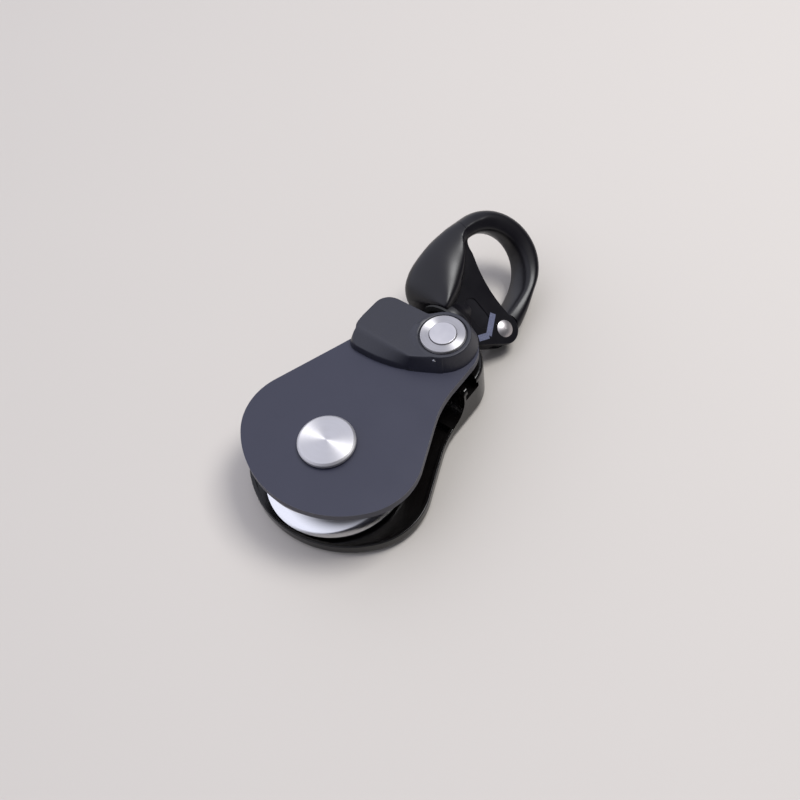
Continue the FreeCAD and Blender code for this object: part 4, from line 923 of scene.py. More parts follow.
@dataclass
class SidePlate:
    """The swinging front plate: a lobed sheet with a rounded edge and two holes."""

    lobe_across: float = 11.8
    lobe_along: float = 2.0
    lobe_radius: float = 22.7
    lobe_bottom: float = 26.1
    flank: float = 22.0
    head_half_width: float = 23.1
    neck_radius: float = 38.0
    head_top: float = 67.2
    head_corner: float = 13.4
    stud: Point = STUD_AXIS
    crown_turn: float = 70.0
    latch_side: float = 20.6
    latch_top: float = 59.4
    latch_corner: float = 6.0
    shoulder: tuple[float, float] = (35.0, 41.0)
    hub_hole: float = 8.07
    stud_hole: float = 3.32
    edge: float = 0.42

    def outline(self, mesh: Mesh, up: float) -> Edges:
        """Draw the plate's edge, from the left flank round against the clock.

        Args:
            mesh: The bmesh to draw in.
            up: The level of the outline.

        Returns:
            The outline's edges.
        """
        lean = math.radians(self.flank)
        drop = self.lobe_bottom - self.lobe_radius
        spread = self.lobe_along ** 2 + self.lobe_across ** 2
        bottom = (spread - drop ** 2) / (2 * (drop + self.lobe_along))
        dip = math.degrees(math.atan2(bottom - self.lobe_along, self.lobe_across))
        flank_across = self.lobe_across + self.lobe_radius * math.cos(lean)
        flank_along = self.lobe_along + self.lobe_radius * math.sin(lean)
        meet = flank_along + (flank_across - self.head_half_width) / math.tan(lean)
        run = self.neck_radius * math.tan(lean / 2)
        corner = self.head_half_width - self.head_corner
        pen = Pen(mesh, -flank_across, flank_along, up)
        pen.arc(-self.lobe_across, self.lobe_along, self.flank + dip, 30)
        pen.arc(0, bottom, 180 - 2 * dip, 48)
        pen.arc(self.lobe_across, self.lobe_along, self.flank + dip, 30)
        pen.line(self.head_half_width + run * math.sin(lean), meet - run * math.cos(lean))
        pen.arc(self.head_half_width + self.neck_radius, meet + run, -self.flank, 12)
        pen.line(self.head_half_width, self.head_top - self.head_corner)
        pen.arc(corner, self.head_top - self.head_corner, 90, 24)
        pen.line(self.stud[0], self.head_top)
        pen.arc(self.stud[0], self.stud[1], self.crown_turn, 20)
        pen.line(self.latch_corner - self.latch_side, self.latch_top)
        pen.arc(self.latch_corner - self.latch_side, self.latch_top - self.latch_corner, 90, 16)
        pen.line(-self.latch_side, self.shoulder[1])
        pen.line(-flank_across + (self.shoulder[0] - flank_along) * math.tan(lean), self.shoulder[0])
        return pen.close()

    def build(self) -> list[Object]:
        """Make the plate at the level of its metal part.

        Returns:
            The plate, in a list.
        """
        low, high = node_box("moving_side_plate")
        mesh = bmesh.new()
        edges = self.outline(mesh, low.z)
        edges += circle(mesh, (0, 0), self.hub_hole, low.z)
        edges += circle(mesh, self.stud, self.stud_hole, low.z, 48)
        fill_and_raise(mesh, edges, high.z - low.z)
        round_edges(mesh, sharp_edges(mesh, CORNER), self.edge, 4)
        seat = Seat("moving_side", "satin_dark_metal", ("moving_side_plate",))
        return [make_piece("front_plate", mesh, CHARCOAL, seat)]


@dataclass
class StudTop:
    """The bright ring that keeps the lever on its stud, and the screw in its middle."""

    stud: Point = STUD_AXIS
    bore: float = 2.05
    pocket: float = 4.98
    pocket_drop: float = 0.12
    floor: float = 0.6
    ring_edge: float = 0.35
    screw_shank: float = 2.0
    screw_edge: float = 0.22
    margin: float = 0.2

    def top(self, name: str, node: str, section: Sequence[Point], edge: float,
            finish: Finish) -> Object:
        """Turn one of the two about the stud's axis and round its upper edges.

        Args:
            name: The piece's name.
            node: The metal part that it stands for.
            section: Its section, as distances from the axis and levels.
            edge: The size of its rounded edges.
            finish: Its finish.

        Returns:
            The piece.
        """
        mesh = bmesh.new()
        turned(mesh, section, Vector((*self.stud, 0)))
        over = node_box("stud_ring")[0].z + self.floor + self.margin
        round_edges(mesh, sharp_edges(mesh, CORNER, lambda spot: spot.z > over), edge, 4)
        return make_piece(name, mesh, finish, Seat("moving_side", "satin_steel", (node,)))

    def build(self) -> list[Object]:
        """Turn the ring and the screw.

        Returns:
            Both pieces.
        """
        low, high = node_box("stud_ring")
        radius = (high.x - low.x) / 2
        seat_level = low.z + self.floor
        bottom, top = node_box("stud_screw")
        head = (top.x - bottom.x) / 2
        return [
            self.top("stud_ring_top", "stud_ring", (
                (self.bore, low.z), (radius, low.z), (radius, high.z),
                (self.pocket, high.z - self.pocket_drop), (self.pocket, seat_level),
                (self.bore, seat_level)), self.ring_edge, RING_STEEL),
            self.top("stud_screw_head", "stud_screw", (
                (0, bottom.z), (self.screw_shank, bottom.z), (self.screw_shank, seat_level),
                (head, seat_level), (head, top.z), (0, top.z)), self.screw_edge, SCREW_STEEL),
        ]


@dataclass
class LatchLever:
    """The moulded lever: a finger tab with a sloping front that flows into a round boss."""

    stud: Point = STUD_AXIS
    boss: float = 12.4
    boss_top: float = 10.2
    bore: float = 5.05
    recess: float = 8.84
    recess_level: float = 5.04
    cavity: tuple[float, float] = (5.9, 8.9)
    cavity_height: float = 3.7
    height: float = 6.1
    left: float = 21.2
    front: float = 36.5
    front_radius: float = 49.6
    front_centre: float = 13.0
    front_turn: float = 36.0
    front_share: float = 0.7
    front_corner: float = 4.6
    join: float = 0.8
    join_rise: float = 0.5
    back: float = 61.4
    back_corner: float = 6.0
    lip: float = 2.9
    lip_run: float = 1.2
    ridge: float = 41.9
    ridge_gap: float = 0.9
    ridge_lean: tuple[float, float] = (0.12, 5.0)
    fall: float = 1.8
    plan_blend: float = 1.2
    ridge_blend: float = 0.9
    boss_blend: float = 1.5
    wall_blend: float = 0.7
    steep: float = 14.0
    steep_from: tuple[float, float] = (140.0, 12.0)
    steep_to: tuple[float, float] = (206.0, 10.0)
    skirt: float = 0.25
    skirt_drop: float = 0.2
    crowding: float = 2.2
    pin_angle: float = -72.0
    pin_height: float = 4.5
    pin_proud: float = 0.12
    pin: tuple[Point, ...] = ((0, -0.6), (0.62, -0.6), (0.62, 0.05), (0.5, 0.17), (0.3, 0.24), (0, 0.27))
    around: int = 360
    rows: int = 44

    def tab_outline(self) -> list[Vector]:
        """Draw the finger tab's plan.

        Returns:
            Its corners in order.
        """
        mesh = bmesh.new()
        pen = Pen(mesh, -self.left, self.front + self.front_corner)
        pen.arc(self.front_corner - self.left, self.front + self.front_corner, 90, 16)
        pen.line(-self.front_centre, self.front)
        pen.arc(-self.front_centre, self.front + self.front_radius, self.front_turn, 24)
        pen.line(*self.stud)
        pen.line(self.stud[0] - self.boss * self.join, self.back + self.join_rise)
        pen.line(self.back_corner - self.left, self.back)
        pen.arc(self.back_corner - self.left, self.back - self.back_corner, 90, 20)
        pen.close()
        corners = [vert.co.xy.to_3d() for vert in mesh.verts]
        mesh.free()
        return corners

    def reach(self, corners: list[Vector], angle: float) -> float:
        """Measure how far the lever reaches from the stud's axis in one direction.

        Args:
            corners: The tab's plan.
            angle: The direction in radians.

        Returns:
            The distance to the lever's edge.
        """
        way = Vector((math.cos(angle), math.sin(angle)))
        start = Vector(self.stud)
        farthest = 0.0
        for first, second in pairs(corners):
            gap, run = first.xy - start, (second - first).xy
            cross = way.x * run.y - way.y * run.x
            if abs(cross) < 1e-9:
                continue
            distance = (gap.x * run.y - gap.y * run.x) / cross
            share = (gap.x * way.y - gap.y * way.x) / cross
            if -1e-6 <= share <= 1 + 1e-6:
                farthest = max(farthest, distance)
        return soft_higher(self.boss, farthest, self.plan_blend)

    def front_line(self, across: float) -> float:
        """Give the place along Y of the tab's front edge."""
        over = min(max(across + self.front_centre, 0.0), self.front_radius * self.front_share)
        return self.front + self.front_radius - math.sqrt(self.front_radius ** 2 - over ** 2)

    def top(self, across: float, along: float) -> float:
        """Work out the height of the lever's upper surface over its underside.

        Args:
            across: The place along X.
            along: The place along Y.

        Returns:
            The height.
        """
        lip_line = self.front_line(across) + self.lip_run
        lean, start = self.ridge_lean
        ridge_line = max(self.ridge, lip_line + self.ridge_gap + lean * max(0.0, across - start))
        slope = (self.height - self.lip) / (ridge_line - lip_line)
        front = self.lip + (along - lip_line) * slope
        plateau = self.height - self.fall * max(0.0, along - ridge_line) / (self.back - self.ridge)
        tab = soft_lower(front, plateau, self.ridge_blend)
        distance = math.hypot(across - self.stud[0], along - self.stud[1])
        cone = self.height - max(0.0, distance - self.boss_top) * self.height / (self.boss - self.boss_top)
        return min(soft_higher(tab, cone, self.boss_blend), self.height)

    def wall(self, angle: float, inset: float) -> float:
        """Work out how high the lever's side wall stands at a distance in from its edge.

        Args:
            angle: The direction from the stud, in radians.
            inset: The distance in from the edge.

        Returns:
            The wall's height there.
        """
        turn = math.degrees(angle) % 360
        start, rise = self.steep_from
        stop, drop = self.steep_to
        share = min(max((turn - start) / rise, 0.0), 1.0) * min(max((stop - turn) / drop, 0.0), 1.0)
        climb = self.height / (self.boss - self.boss_top)
        return inset * (climb + (self.steep - climb) * share)

    def build(self) -> list[Object]:
        """Grow the lever from its bore outward, up over the tab and back underneath.

        Returns:
            The lever and its pin's end.
        """
        low, _ = node_box("latch_lever")
        corners = self.tab_outline()
        mesh = bmesh.new()
        stud = Vector((self.stud[0], self.stud[1], low.z))

        def to(radius: float, height: float) -> Callable[[Vector], Vector]:
            """Make the move that takes a corner to a plain ring about the stud.

            Args:
                radius: The ring's radius.
                height: Its height over the lever's underside.

            Returns:
                The move.
            """
            def move(spot: Vector) -> Vector:
                """Slide one corner along its own direction."""
                way = (spot - stud).xy.normalized()
                return stud + Vector((way.x * radius, way.y * radius, height))
            return move

        def out(share: float) -> Callable[[Vector], Vector]:
            """Make the move that takes a corner part of the way from the recess to the lever's edge.

            Args:
                share: How much of the way.

            Returns:
                The move.
            """
            def move(spot: Vector) -> Vector:
                """Slide one corner out and set it on the lever's skin.

                Args:
                    spot: The corner's old place.

                Returns:
                    Its new place.
                """
                way = (spot - stud).xy
                angle = math.atan2(way.y, way.x)
                edge = self.reach(corners, angle)
                start = self.recess + self.skirt
                radius = start + (edge - start) * share
                spot_x = self.stud[0] + math.cos(angle) * radius
                spot_y = self.stud[1] + math.sin(angle) * radius
                wall = self.wall(angle, edge - radius)
                height = soft_lower(self.top(spot_x, spot_y), wall, self.wall_blend)
                return Vector((spot_x, spot_y, low.z + max(height, 0.0)))
            return move

        row = circle(mesh, self.stud, self.bore, low.z, self.around)
        for radius, height in ((self.bore, self.recess_level), (self.recess, self.recess_level),
                               (self.recess, self.height - self.skirt_drop)):
            row = grow(mesh, row, to(radius, height))
        for step in range(self.rows):
            row = grow(mesh, row, out(1 - (1 - step / (self.rows - 1)) ** self.crowding))
        inner, outer = self.cavity
        for radius, height in ((outer, 0), (outer, self.cavity_height), (inner, self.cavity_height),
                               (inner, 0), (self.bore, 0)):
            row = grow(mesh, row, to(radius, height))
        bmesh.ops.remove_doubles(mesh, verts=mesh.verts, dist=SAME_PLACE)
        bmesh.ops.recalc_face_normals(mesh, faces=mesh.faces)
        seat = Seat("latch", "black_nylon", ("latch_lever",))
        return [make_piece("lever_moulding", mesh, NYLON, seat, smooth=CORNER), self.pin_end(low.z)]

    def pin_end(self, bottom: float) -> Object:
        """Make the small domed end of the pin that shows on the boss's wall.

        Args:
            bottom: The level of the lever's underside.

        Returns:
            The pin's end.
        """
        share = self.pin_height / self.height
        radius = self.boss + (self.boss_top - self.boss) * share + self.pin_proud
        angle = math.radians(self.pin_angle)
        mesh = bmesh.new()
        turned(mesh, self.pin, steps=32)
        lean = (self.boss - self.boss_top) / self.height
        way = Vector((math.cos(angle), math.sin(angle), lean)).normalized()
        spot = Vector((self.stud[0] + math.cos(angle) * radius, self.stud[1] + math.sin(angle) * radius,
                       bottom + self.pin_height))
        place = Matrix.Translation(spot) @ way.to_track_quat("Z", "Y").to_matrix().to_4x4()
        return make_piece("lever_pin_end", mesh, GROUND_STEEL, Seat("latch", "steel"), place)


# The fixed side's bright cap


@dataclass
class AxleCap:
    """The round cap on the axle: a turned disc with a beveled edge, and its stem."""

    stem: float = 3.0
    gap: float = 0.08
    bevel: float = 0.8
    crown: float = 0.06
    edge: float = 0.16
    corner: float = 30.0

    def build(self) -> list[Object]:
        """Turn the cap to the size of its metal part.

        Returns:
            The cap, in a list.
        """
        low, high = node_box("axle_cap")
        _, washer = node_box("cap_washer")
        radius = (high.x - low.x) / 2
        under = washer.z + self.gap
        mesh = bmesh.new()
        turned(mesh, (
            (0, low.z), (self.stem, low.z), (self.stem, under), (radius, under),
            (radius, high.z - self.bevel), (radius - self.bevel, high.z - self.crown), (0, high.z)),
            steps=192)
        round_edges(mesh, sharp_edges(mesh, self.corner, lambda spot: spot.z > washer.z), self.edge, 3)
        seat = Seat("fixed_side", "turned_steel", ("axle_cap",))
        return [make_piece("axle_cap_disc", mesh, CAP_STEEL, seat)]


# The swivel eye


@dataclass(frozen=True)
class ArmSection:
    """One cross-section of the eye's arm: its inner wall, its crest, its outer nose and its back."""

    near: Point
    far: Point
    outer: Point
    crest: float
    crest_height: float = 6.3
    inner_height: float = 4.7
    face_height: float = 5.6
    nose_level: float = 0.0
    nose_half: float = 3.2
    back_crest: float = 0.7
    back_height: float = 6.3
    crease: float = 0.0
    flank_share: float = 0.5
    back_share: float = 0.45
    tuck: float = 0.4
    nose: float = 0.15

    def corners(self) -> list[Vector]:
        """Work out the section's corners.

        Returns:
            The corners in order, front side first and then the back.
        """
        outer = Vector(self.outer)
        front, back = outer - Vector(self.near), outer - Vector(self.far)
        step = front.normalized()
        flank = (self.inner_height + 2 * self.crest_height) / 3
        back_flank = (self.back_height * 2 + self.inner_height) / 3
        face = (1 + self.crest) / 2
        spots = [
            (Vector(self.near), self.inner_height),
            (outer - front * (1 - self.crest * self.flank_share), flank),
            (outer - front * (1 - self.crest), self.crest_height),
            (outer - front * (1 - face), self.face_height),
            (outer - step * self.tuck, self.nose_level + self.nose_half),
            (outer + step * self.nose, self.nose_level),
            (outer - step * self.tuck, self.nose_level - self.nose_half),
            (outer - back * (1 - self.back_crest), -self.back_height),
            (outer - back * (1 - self.back_crest * self.back_share), -back_flank),
            (Vector(self.far), -self.inner_height),
        ]
        return [spot.to_3d() + Vector((0, 0, level)) for spot, level in spots]


CREST_CORNER = 2  # the crest's number among the corners that a section gives
CHEEK_SECTIONS = (
    ((-3.0, 69.62), (-3.0, 69.62), (-15.6, 69.7), 0.4, 9.0, 4.6, -0.8, -9.0, 1.6, 0.66, 11.6),
    ((-3.0, 70.3), (-3.0, 70.3), (-17.2, 70.3), 0.37, 10.0, 4.8, 0.6, -8.8, 2.2, 0.64, 12.2),
    ((-3.2, 72.4), (-3.2, 72.4), (-20.4, 72.4), 0.31, 10.3, 5.0, 3.0, -8.0, 2.8, 0.6, 12.4),
    ((-3.5, 75.2), (-3.5, 75.2), (-22.4, 75.2), 0.3, 10.1, 5.0, 5.0, -6.8, 3.2, 0.6, 12.0),
    ((-4.2, 78.6), (-4.2, 78.6), (-24.1, 78.6), 0.27, 9.7, 5.0, 6.2, -5.0, 3.5, 0.6, 11.0),
    ((-6.2, 82.8), (-6.2, 82.8), (-25.0, 82.8), 0.25, 9.3, 5.0, 6.8, -3.2, 3.6, 0.6, 9.8),
    ((-9.0, 87.2), (-9.0, 87.2), (-25.6, 87.2), 0.21, 8.9, 5.0, 6.7, -2.0, 3.5, 0.6, 8.6),
    ((-11.8, 91.4), (-12.2, 91.8), (-25.6, 91.6), 0.2, 8.2, 5.0, 6.2, -1.7, 3.3, 0.6, 7.8),
    ((-14.3, 94.6), (-15.0, 95.6), (-25.3, 95.0), 0.27, 7.7, 5.1, 5.3, -1.2, 3.2, 0.6, 7.2, 0.2),
    ((-15.7, 97.0), (-16.8, 98.6), (-25.1, 98.0), 0.46, 6.4, 5.2, 4.8, -0.6, 3.3, 0.6, 6.8, 0.5),
    ((-16.3, 99.6), (-17.4, 101.4), (-24.6, 100.9), 0.54, 6.0, 4.9, 4.7, -0.3, 3.2, 0.65, 6.5, 0.4),
)
TAIL_SECTIONS = (
    ((12.6, 97.6), (10.9, 97.2), (19.4, 99.6), 0.6, 6.3, 4.5, 5.5, 0.0, 3.2, 0.5, 6.0),
    ((12.9, 94.0), (11.4, 93.6), (20.9, 95.0), 0.58, 6.3, 4.5, 5.5, 0.0, 3.0, 0.42, 5.7),
    ((13.0, 90.6), (12.1, 90.2), (21.9, 91.0), 0.56, 6.2, 4.6, 5.5, 0.6, 2.9, 0.36, 5.3),
    ((13.0, 88.0), (12.7, 88.0), (21.6, 88.0), 0.56, 6.1, 4.8, 5.5, 0.6, 2.9, 0.34, 5.2),
    ((13.0, 86.0), (13.0, 86.0), (20.6, 86.0), 0.56, 6.0, 4.8, 5.4, 0.6, 2.9, 0.34, 5.2),
)


@dataclass
class SwivelEye:
    """The gated eye: a thick cheek that runs into a round arm, a flat base and the gate's joint."""

    roll: float = 39.0
    back: float = 5.2
    flat_lift: float = 0.25
    face: float = 5.85
    ring: Point = (-3.7, 102.5)
    ring_radius: float = 20.35
    opening: Point = (-1.9, 98.6)
    opening_radius: float = 14.5
    far_centre: Point = (-2.0, 98.6)
    early: float = 150.0
    early_shape: tuple[float, ...] = (0.54, 6.0, 4.6, 4.9)
    late_shape: tuple[float, ...] = (0.62, 6.3, 4.6, 5.4)
    early_crease: float = 0.3
    end_crease: float = 0.8
    arm_levels: int = 4
    arm: tuple[tuple[float, float], ...] = (
        (177, 15.6), (165, 15.9), (153, 16.0), (141, 16.1), (128, 16.1), (115, 15.9), (102, 15.4),
        (89, 14.6), (76, 13.8), (63, 13.0), (50, 12.4), (37, 12.0), (24, 11.8), (12, 11.9))
    joint: tuple[Point, Point] = ((-16.8, 99.1), (-23.9, 102.5))
    joint_gap: float = 0.13
    joint_edge: float = 0.12
    rivet: Point = (16.4, 83.9)
    knuckle: float = 6.0
    knuckle_turns: tuple[float, float] = (-42.0, 110.0)
    foot: float = 70.48
    floor_end: Point = (-10.8, 95.2)
    floor_radius: float = 53.0
    corner_rise: tuple[Point, ...] = (
        (-12.5, 95.9), (-14.2, 96.3), (-15.7, 96.9), (-16.8, 97.8), (-17.8, 98.2), (-17.5, 93.0),
        (-13.0, 84.0))
    base_left: float = -8.5
    base_edge: float = 0.8
    base_edge_left: float = -16.5
    slot: float = 5.2
    tongue: float = 5.6
    tongue_width: float = 5.0
    shoulder: float = 6.3
    collar: tuple[Point, ...] = (
        (4.0, 69.58), (9.4, 69.58), (9.6, 69.8), (9.7, 70.6), (9.6, 71.5), (9.5, 72.4), (8.9, 73.2),
        (8.2, 74.1), (7.4, 75.1), (6.7, 76.2), (6.2, 77.3), (5.7, 79.0), (4.0, 81.0))
    collar_corner: float = 20.0
    collar_edge: float = 0.4
    panel: tuple[float, float, float] = (13.4, 5.9, 0.45)
    panel_place: Point = (4.4, 79.7)
    panel_turn: float = -4.0
    panel_edge: float = 0.18
    panel_over: float = 2.0
    panel_margin: tuple[float, float] = (0.1, 0.2)
    clearance: float = 0.3
    past: float = 20.0
    ear: float = 10.0
    floor_run: float = 12.0
    floor_drop: float = 70.0
    screw_place: Point = (-20.3, 100.65)
    screw_turn: float = -9.0
    screw_radius: float = 1.52
    screw_run: tuple[float, float] = (-2.0, 40.0)

    def in_place(self) -> Matrix:
        """Work out how the eye's own plane lies in the block.

        Returns:
            The turn and the lift.
        """
        low, high = node_box("swivel_shaft")
        lift = Matrix.Translation((0, 0, (low.z + high.z) / 2))
        return lift @ Matrix.Rotation(math.radians(self.roll), 4, "Y")

    def sections(self) -> list[ArmSection]:
        """List the arm's sections, from the cheek's foot round the ring to the gate's tail.

        Returns:
            The sections in order.
        """
        arm = []
        for angle, far_radius in self.arm:
            way = Vector((math.cos(math.radians(angle)), math.sin(math.radians(angle))))
            near = Vector(self.opening) + way * self.opening_radius
            far = Vector(self.far_centre) + way * far_radius
            outer = Vector(self.ring) + way * self.ring_radius
            late = angle < self.early
            shape, crease = (self.late_shape, 0.0) if late else (self.early_shape, self.early_crease)
            arm.append(ArmSection(near[:], far[:], outer[:], *shape, crease=crease))
        return ([ArmSection(*row) for row in CHEEK_SECTIONS] + arm
                + [ArmSection(*row) for row in TAIL_SECTIONS])

    def whole_arm(self) -> Mesh:
        """Skin the sections from the cheek's foot to the gate's tail and smooth them.

        Returns:
            The closed arm, before it is parted at the joint.
        """
        mesh = bmesh.new()
        sections = self.sections()
        rows = [[mesh.verts.new(corner) for corner in section.corners()] for section in sections]
        for row in rows:
            for pair in pairs(row):
                mesh.edges.new(pair)
        for lower, upper in zip(rows, rows[1:]):
            edges = [mesh.edges.get(pair) for row in (lower, upper) for pair in pairs(row)]
            bmesh.ops.bridge_loops(mesh, edges=edges)
        for row in (rows[0], rows[-1]):
            bmesh.ops.contextual_create(mesh, geom=[mesh.edges.get(pair) for pair in pairs(row)])
        bmesh.ops.recalc_face_normals(mesh, faces=mesh.faces)
        crease = mesh.edges.layers.float.new("crease_edge")
        for pair in list(pairs(rows[0])) + list(pairs(rows[-1])):
            mesh.edges.get(pair)[crease] = self.end_crease
        for section, lower, upper in zip(sections, rows, rows[1:]):
            mesh.edges.get((lower[CREST_CORNER], upper[CREST_CORNER]))[crease] = section.crease
        blank = as_object(mesh, "arm_blank")
        smooth = blank.modifiers.new("smooth", "SUBSURF")
        smooth.levels = smooth.render_levels = self.arm_levels
        return settled(blank)

    def parted(self, arm: Mesh, gate_side: bool) -> Mesh:
        """Keep one side of the joint between the cheek's tip and the gate.

        Args:
            arm: The whole arm, which is left as it is.
            gate_side: Whether the gate's side is kept, and not the cheek's.

        Returns:
            The side that is kept, closed at the joint.
        """
        side = arm.copy()
        first, second = (Vector(point).to_3d() for point in self.joint)
        across = (second - first).normalized()
        up = Vector((across.y, -across.x, 0))
        if gate_side:
            rim = cut_off(side, first, -up)
        else:
            rim = cut_off(side, first - up * self.joint_gap, up)
        round_edges(side, rim, self.joint_edge, 2)
        return side

    def knuckle_point(self, turn: float) -> Point:
        """Find a point on the knuckle's edge.

        Args:
            turn: Its direction from the rivet.

        Returns:
            The point.
        """
        angle = math.radians(turn)
        across, along = self.rivet
        return (across + self.knuckle * math.cos(angle), along + self.knuckle * math.sin(angle))

    def base(self) -> Mesh:
        """Make the flat base with its knuckle, the gate's slot and the sunk panel.

        Returns:
            The base's bmesh.
        """
        start, stop = self.knuckle_turns
        lower, upper = self.knuckle_point(start), self.knuckle_point(stop)
        foot_right = lower[0] + (lower[1] - self.foot) * math.tan(math.radians(start))
        chord = Vector(self.floor_end) - Vector(upper)
        middle = (Vector(self.floor_end) + Vector(upper)) / 2
        rise = math.sqrt(self.floor_radius ** 2 - (chord.length / 2) ** 2)
        centre = middle + Vector((chord.y, -chord.x)).normalized() * rise
        mesh = bmesh.new()
        pen = Pen(mesh, self.base_left, self.foot, -self.back)
        pen.line(foot_right, self.foot).line(*lower)
        pen.arc(self.rivet[0], self.rivet[1], stop - start, 40)
        half_turn = math.degrees(math.asin(chord.length / 2 / self.floor_radius))
        pen.arc(centre.x, centre.y, -2 * half_turn, 16)
        for corner in self.corner_rise:
            pen.line(*corner)
        fill_and_raise(mesh, pen.close(), self.face + self.back)
        bmesh.ops.dissolve_limit(mesh, angle_limit=0.01, verts=[], edges=mesh.edges)
        lies = self.in_place().inverted()
        cut_off(mesh, lies @ Vector((0, 0, self.flat_lift)), lies.to_3x3() @ Vector((0, 0, -1)))
        round_edges(mesh, sharp_edges(
            mesh, CORNER, lambda spot: spot.z > 0 and spot.x > self.base_edge_left), self.base_edge, 4)
        left = carved(mesh, [self.slot_tool(), self.panel_tool()])
        below, beside = self.panel_margin
        level, reach = self.face - below, self.panel[0] / 2 + beside
        middle = Vector(self.panel_place)
        round_edges(left, sharp_edges(
            left, CORNER, lambda spot: spot.z > level and (spot.xy - middle).length < reach),
            self.panel_edge, 2)
        return left

    def slot_tool(self) -> Mesh:
        """Make the tool of the slot in which the gate's tongue turns.

        Returns:
            The tool.
        """
        across, along = self.rivet
        reach = self.shoulder + self.clearance
        return slab(((across - reach, along - reach), (across + self.past, along - reach),
                     (across + self.past, along + self.past), (across - reach, along + self.past)),
                    -self.slot / 2, self.slot)

    def panel_tool(self) -> Mesh:
        """Make the tool of the sunk panel, a bar with round ends.

        Returns:
            The tool, in its place.
        """
        length, width, depth = self.panel
        run = (length - width) / 2
        mesh = bmesh.new()
        pen = Pen(mesh, -run, -width / 2, self.face - depth)
        pen.line(run, -width / 2).arc(run, 0, 180, 24)
        # The last arc stops just short of the first corner, and closing the outline draws the rest.
        pen.line(-run, width / 2).arc(-run, 0, 178, 24)
        fill_and_raise(mesh, pen.close(), self.panel_over)
        return laid(mesh, self.panel_place, self.panel_turn)

    def gate_tools(self) -> list[Mesh]:
        """Make the tools that clear the gate's arm from the ears and the floor, and its screw's hole.

        Returns:
            The two ears' tools, the lock screw's and the floor's.
        """
        tools = [disc(self.rivet, self.shoulder, bottom, self.ear)
                 for bottom in (self.tongue_width / 2, -self.tongue_width / 2 - self.ear)]
        screw = disc((0, 0), self.screw_radius, *self.screw_run, 48)
        tools.append(laid(screw, self.screw_place, self.screw_turn, -90))
        across, along = self.knuckle_point(self.knuckle_turns[1])
        slope = (self.floor_end[1] - along) / (across - self.floor_end[0])
        along += self.clearance
        left = across - self.floor_run
        tools.append(slab(((across, along), (left, along + self.floor_run * slope), (left, self.floor_drop),
                           (across, self.floor_drop)), -self.past, 2 * self.past))
        return tools

    def build(self) -> list[Object]:
        """Make the eye's body and its gate.

        Returns:
            Both pieces.
        """
        arm = self.whole_arm()
        body = self.parted(arm, False)
        gate = carved(self.parted(arm, True), self.gate_tools())
        arm.free()
        collar = bmesh.new()
        turned(collar, self.collar, along_y=True, steps=96)
        round_edges(collar, sharp_edges(collar, self.collar_corner), self.collar_edge, 3)
        take_in(body, self.base())
        take_in(body, collar)
        take_in(gate, disc(self.rivet, self.tongue, -self.tongue_width / 2, self.tongue_width))
        return [
            make_piece(name, mesh, SATIN_BLACK, Seat(part, "satin_black_metal", (node,)), self.in_place(),
                       CORNER)
            for name, mesh, part, node in (("eye_forging", body, "swivel", "eye_body"),
                                           ("gate_forging", gate, "gate", "eye_gate"))]


# The metal parts that show as they are


class MetalParts:
    """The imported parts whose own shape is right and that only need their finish."""

    def build(self) -> list[Object]:
        """Dress every part that no modelled piece stands for.

        Returns:
            Those parts.
        """
        dressed = []
        for finish, nodes in METAL_PART_FINISHES.items():
            for part in (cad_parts[node] for node in nodes):
                for slot in part.material_slots:
                    slot.material = finish.material()
                dressed.append(part)
        return dressed


# The studio


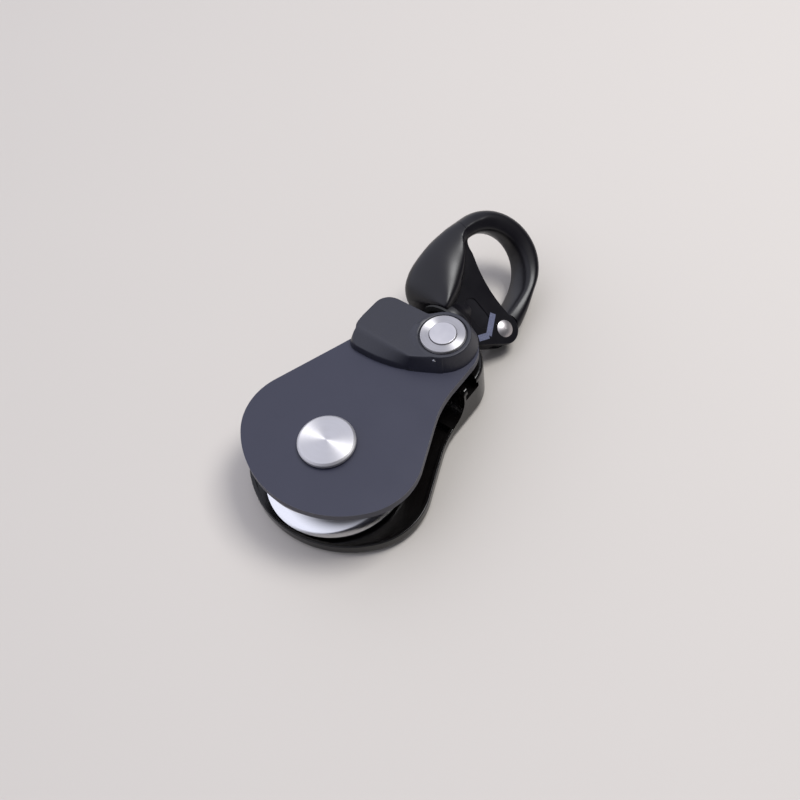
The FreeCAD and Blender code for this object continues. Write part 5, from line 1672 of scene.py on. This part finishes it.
@dataclass
class Studio:
    """The pale floor, the soft lamp, the room's light and the camera."""

    floor_half: float = 4.0
    key_way: Place = (0.23, 0.38, 0.9)
    key_distance: float = 1.2
    key_size: float = 0.46
    key_power: float = 10.2
    aim: Place = (0.0, 0.045, 0.02)
    sky_way: Place = (-0.68, -0.14, 0.72)
    sky_edges: tuple[float, float] = (0.12, 0.86)
    sky_colour: Colour = (0.92, 0.94, 1.08)
    ambient: float = 0.1
    sky_level: float = 1.2
    horizon: float = 0.2
    horizon_height: float = 0.34
    backdrop: float = 0.72
    lens: float = 50.0
    eye: Place = (0.16555, -0.12536, 0.34875)
    right: Place = (0.79403, 0.60013, -0.09669)
    upward: Place = (-0.45851, 0.69573, 0.55292)
    backward: Place = (0.39910, -0.39470, 0.82760)

    def floor(self) -> Object:
        """Lay the floor under the block.

        Returns:
            The floor.
        """
        mesh = bmesh.new()
        bmesh.ops.create_grid(mesh, x_segments=8, y_segments=8, size=self.floor_half)
        floor = as_object(mesh, "studio_floor")
        for vert in floor.data.vertices:
            vert.co.z = FLOOR_LEVEL
        floor.data.materials.append(PAPER.material())
        return floor

    def lamp(self) -> None:
        """Hang the soft square lamp that faces the block."""
        data = bpy.data.lights.new("key", "AREA")
        data.shape = "SQUARE"
        data.size = self.key_size
        data.energy = self.key_power
        lamp = bpy.data.objects.new("key", data)
        direction = Vector(self.key_way).normalized()
        lamp.location = Vector(self.aim) + direction * self.key_distance
        lamp.rotation_euler = direction.to_track_quat("Z", "Y").to_euler()
        bpy.context.collection.objects.link(lamp)

    def sky(self) -> None:
        """Set the room's light: pale on the left and overhead, dim on the right."""
        world = bpy.data.worlds.new("studio")
        bpy.context.scene.world = world
        world.use_nodes = True
        steps = ShaderTree(world.node_tree)
        way = steps.add("ShaderNodeTexCoord").outputs["Generated"]
        bright = tuple(Vector(self.sky_way).normalized())
        towards = steps.vector("DOT_PRODUCT", way, bright).outputs["Value"]
        height = steps.math("ABSOLUTE", steps.split(way)[2])
        light = steps.plus(
            steps.spread(towards, self.ambient, self.ambient + self.sky_level, *self.sky_edges),
            steps.spread(height, self.horizon, 0.0, 0.0, self.horizon_height))
        seen = steps.add("ShaderNodeLightPath").outputs["Is Camera Ray"]
        change = steps.math("SUBTRACT", self.backdrop, light)
        light = steps.plus(light, steps.times(seen, change))
        back = steps.add("ShaderNodeBackground", None, {
            "Color": self.sky_colour + (1.0,), "Strength": light})
        steps.add("ShaderNodeOutputWorld", None, {"Surface": back.outputs[0]})

    def camera(self) -> None:
        """Set the camera above the block's lower right."""
        data = bpy.data.cameras.new("camera")
        data.lens = self.lens
        data.sensor_width = 36.0
        data.clip_start = 0.01
        camera = bpy.data.objects.new("camera", data)
        turn = Matrix((self.right, self.upward, self.backward)).transposed().to_4x4()
        camera.matrix_world = Matrix.Translation(self.eye) @ turn
        bpy.context.collection.objects.link(camera)
        bpy.context.scene.camera = camera

    def build(self) -> list[Object]:
        """Make the lamp, the room's light, the camera and the floor.

        Returns:
            The floor, in a list.
        """
        self.lamp()
        self.sky()
        self.camera()
        bpy.context.scene.view_settings.view_transform = "Standard"
        return [self.floor()]


def main() -> None:
    """Build the block's sub-assemblies in order and report each piece."""
    logging.basicConfig(level=logging.INFO, format="%(message)s")
    for maker in (MetalParts(), SidePlate(), StudTop(), LatchLever(), AxleCap(), SwivelEye(), Studio()):
        for piece in maker.build():
            logging.info("%s: %s, %d faces", type(maker).__name__, piece.name, len(piece.data.polygons))


if __name__ == "__main__":
    main()
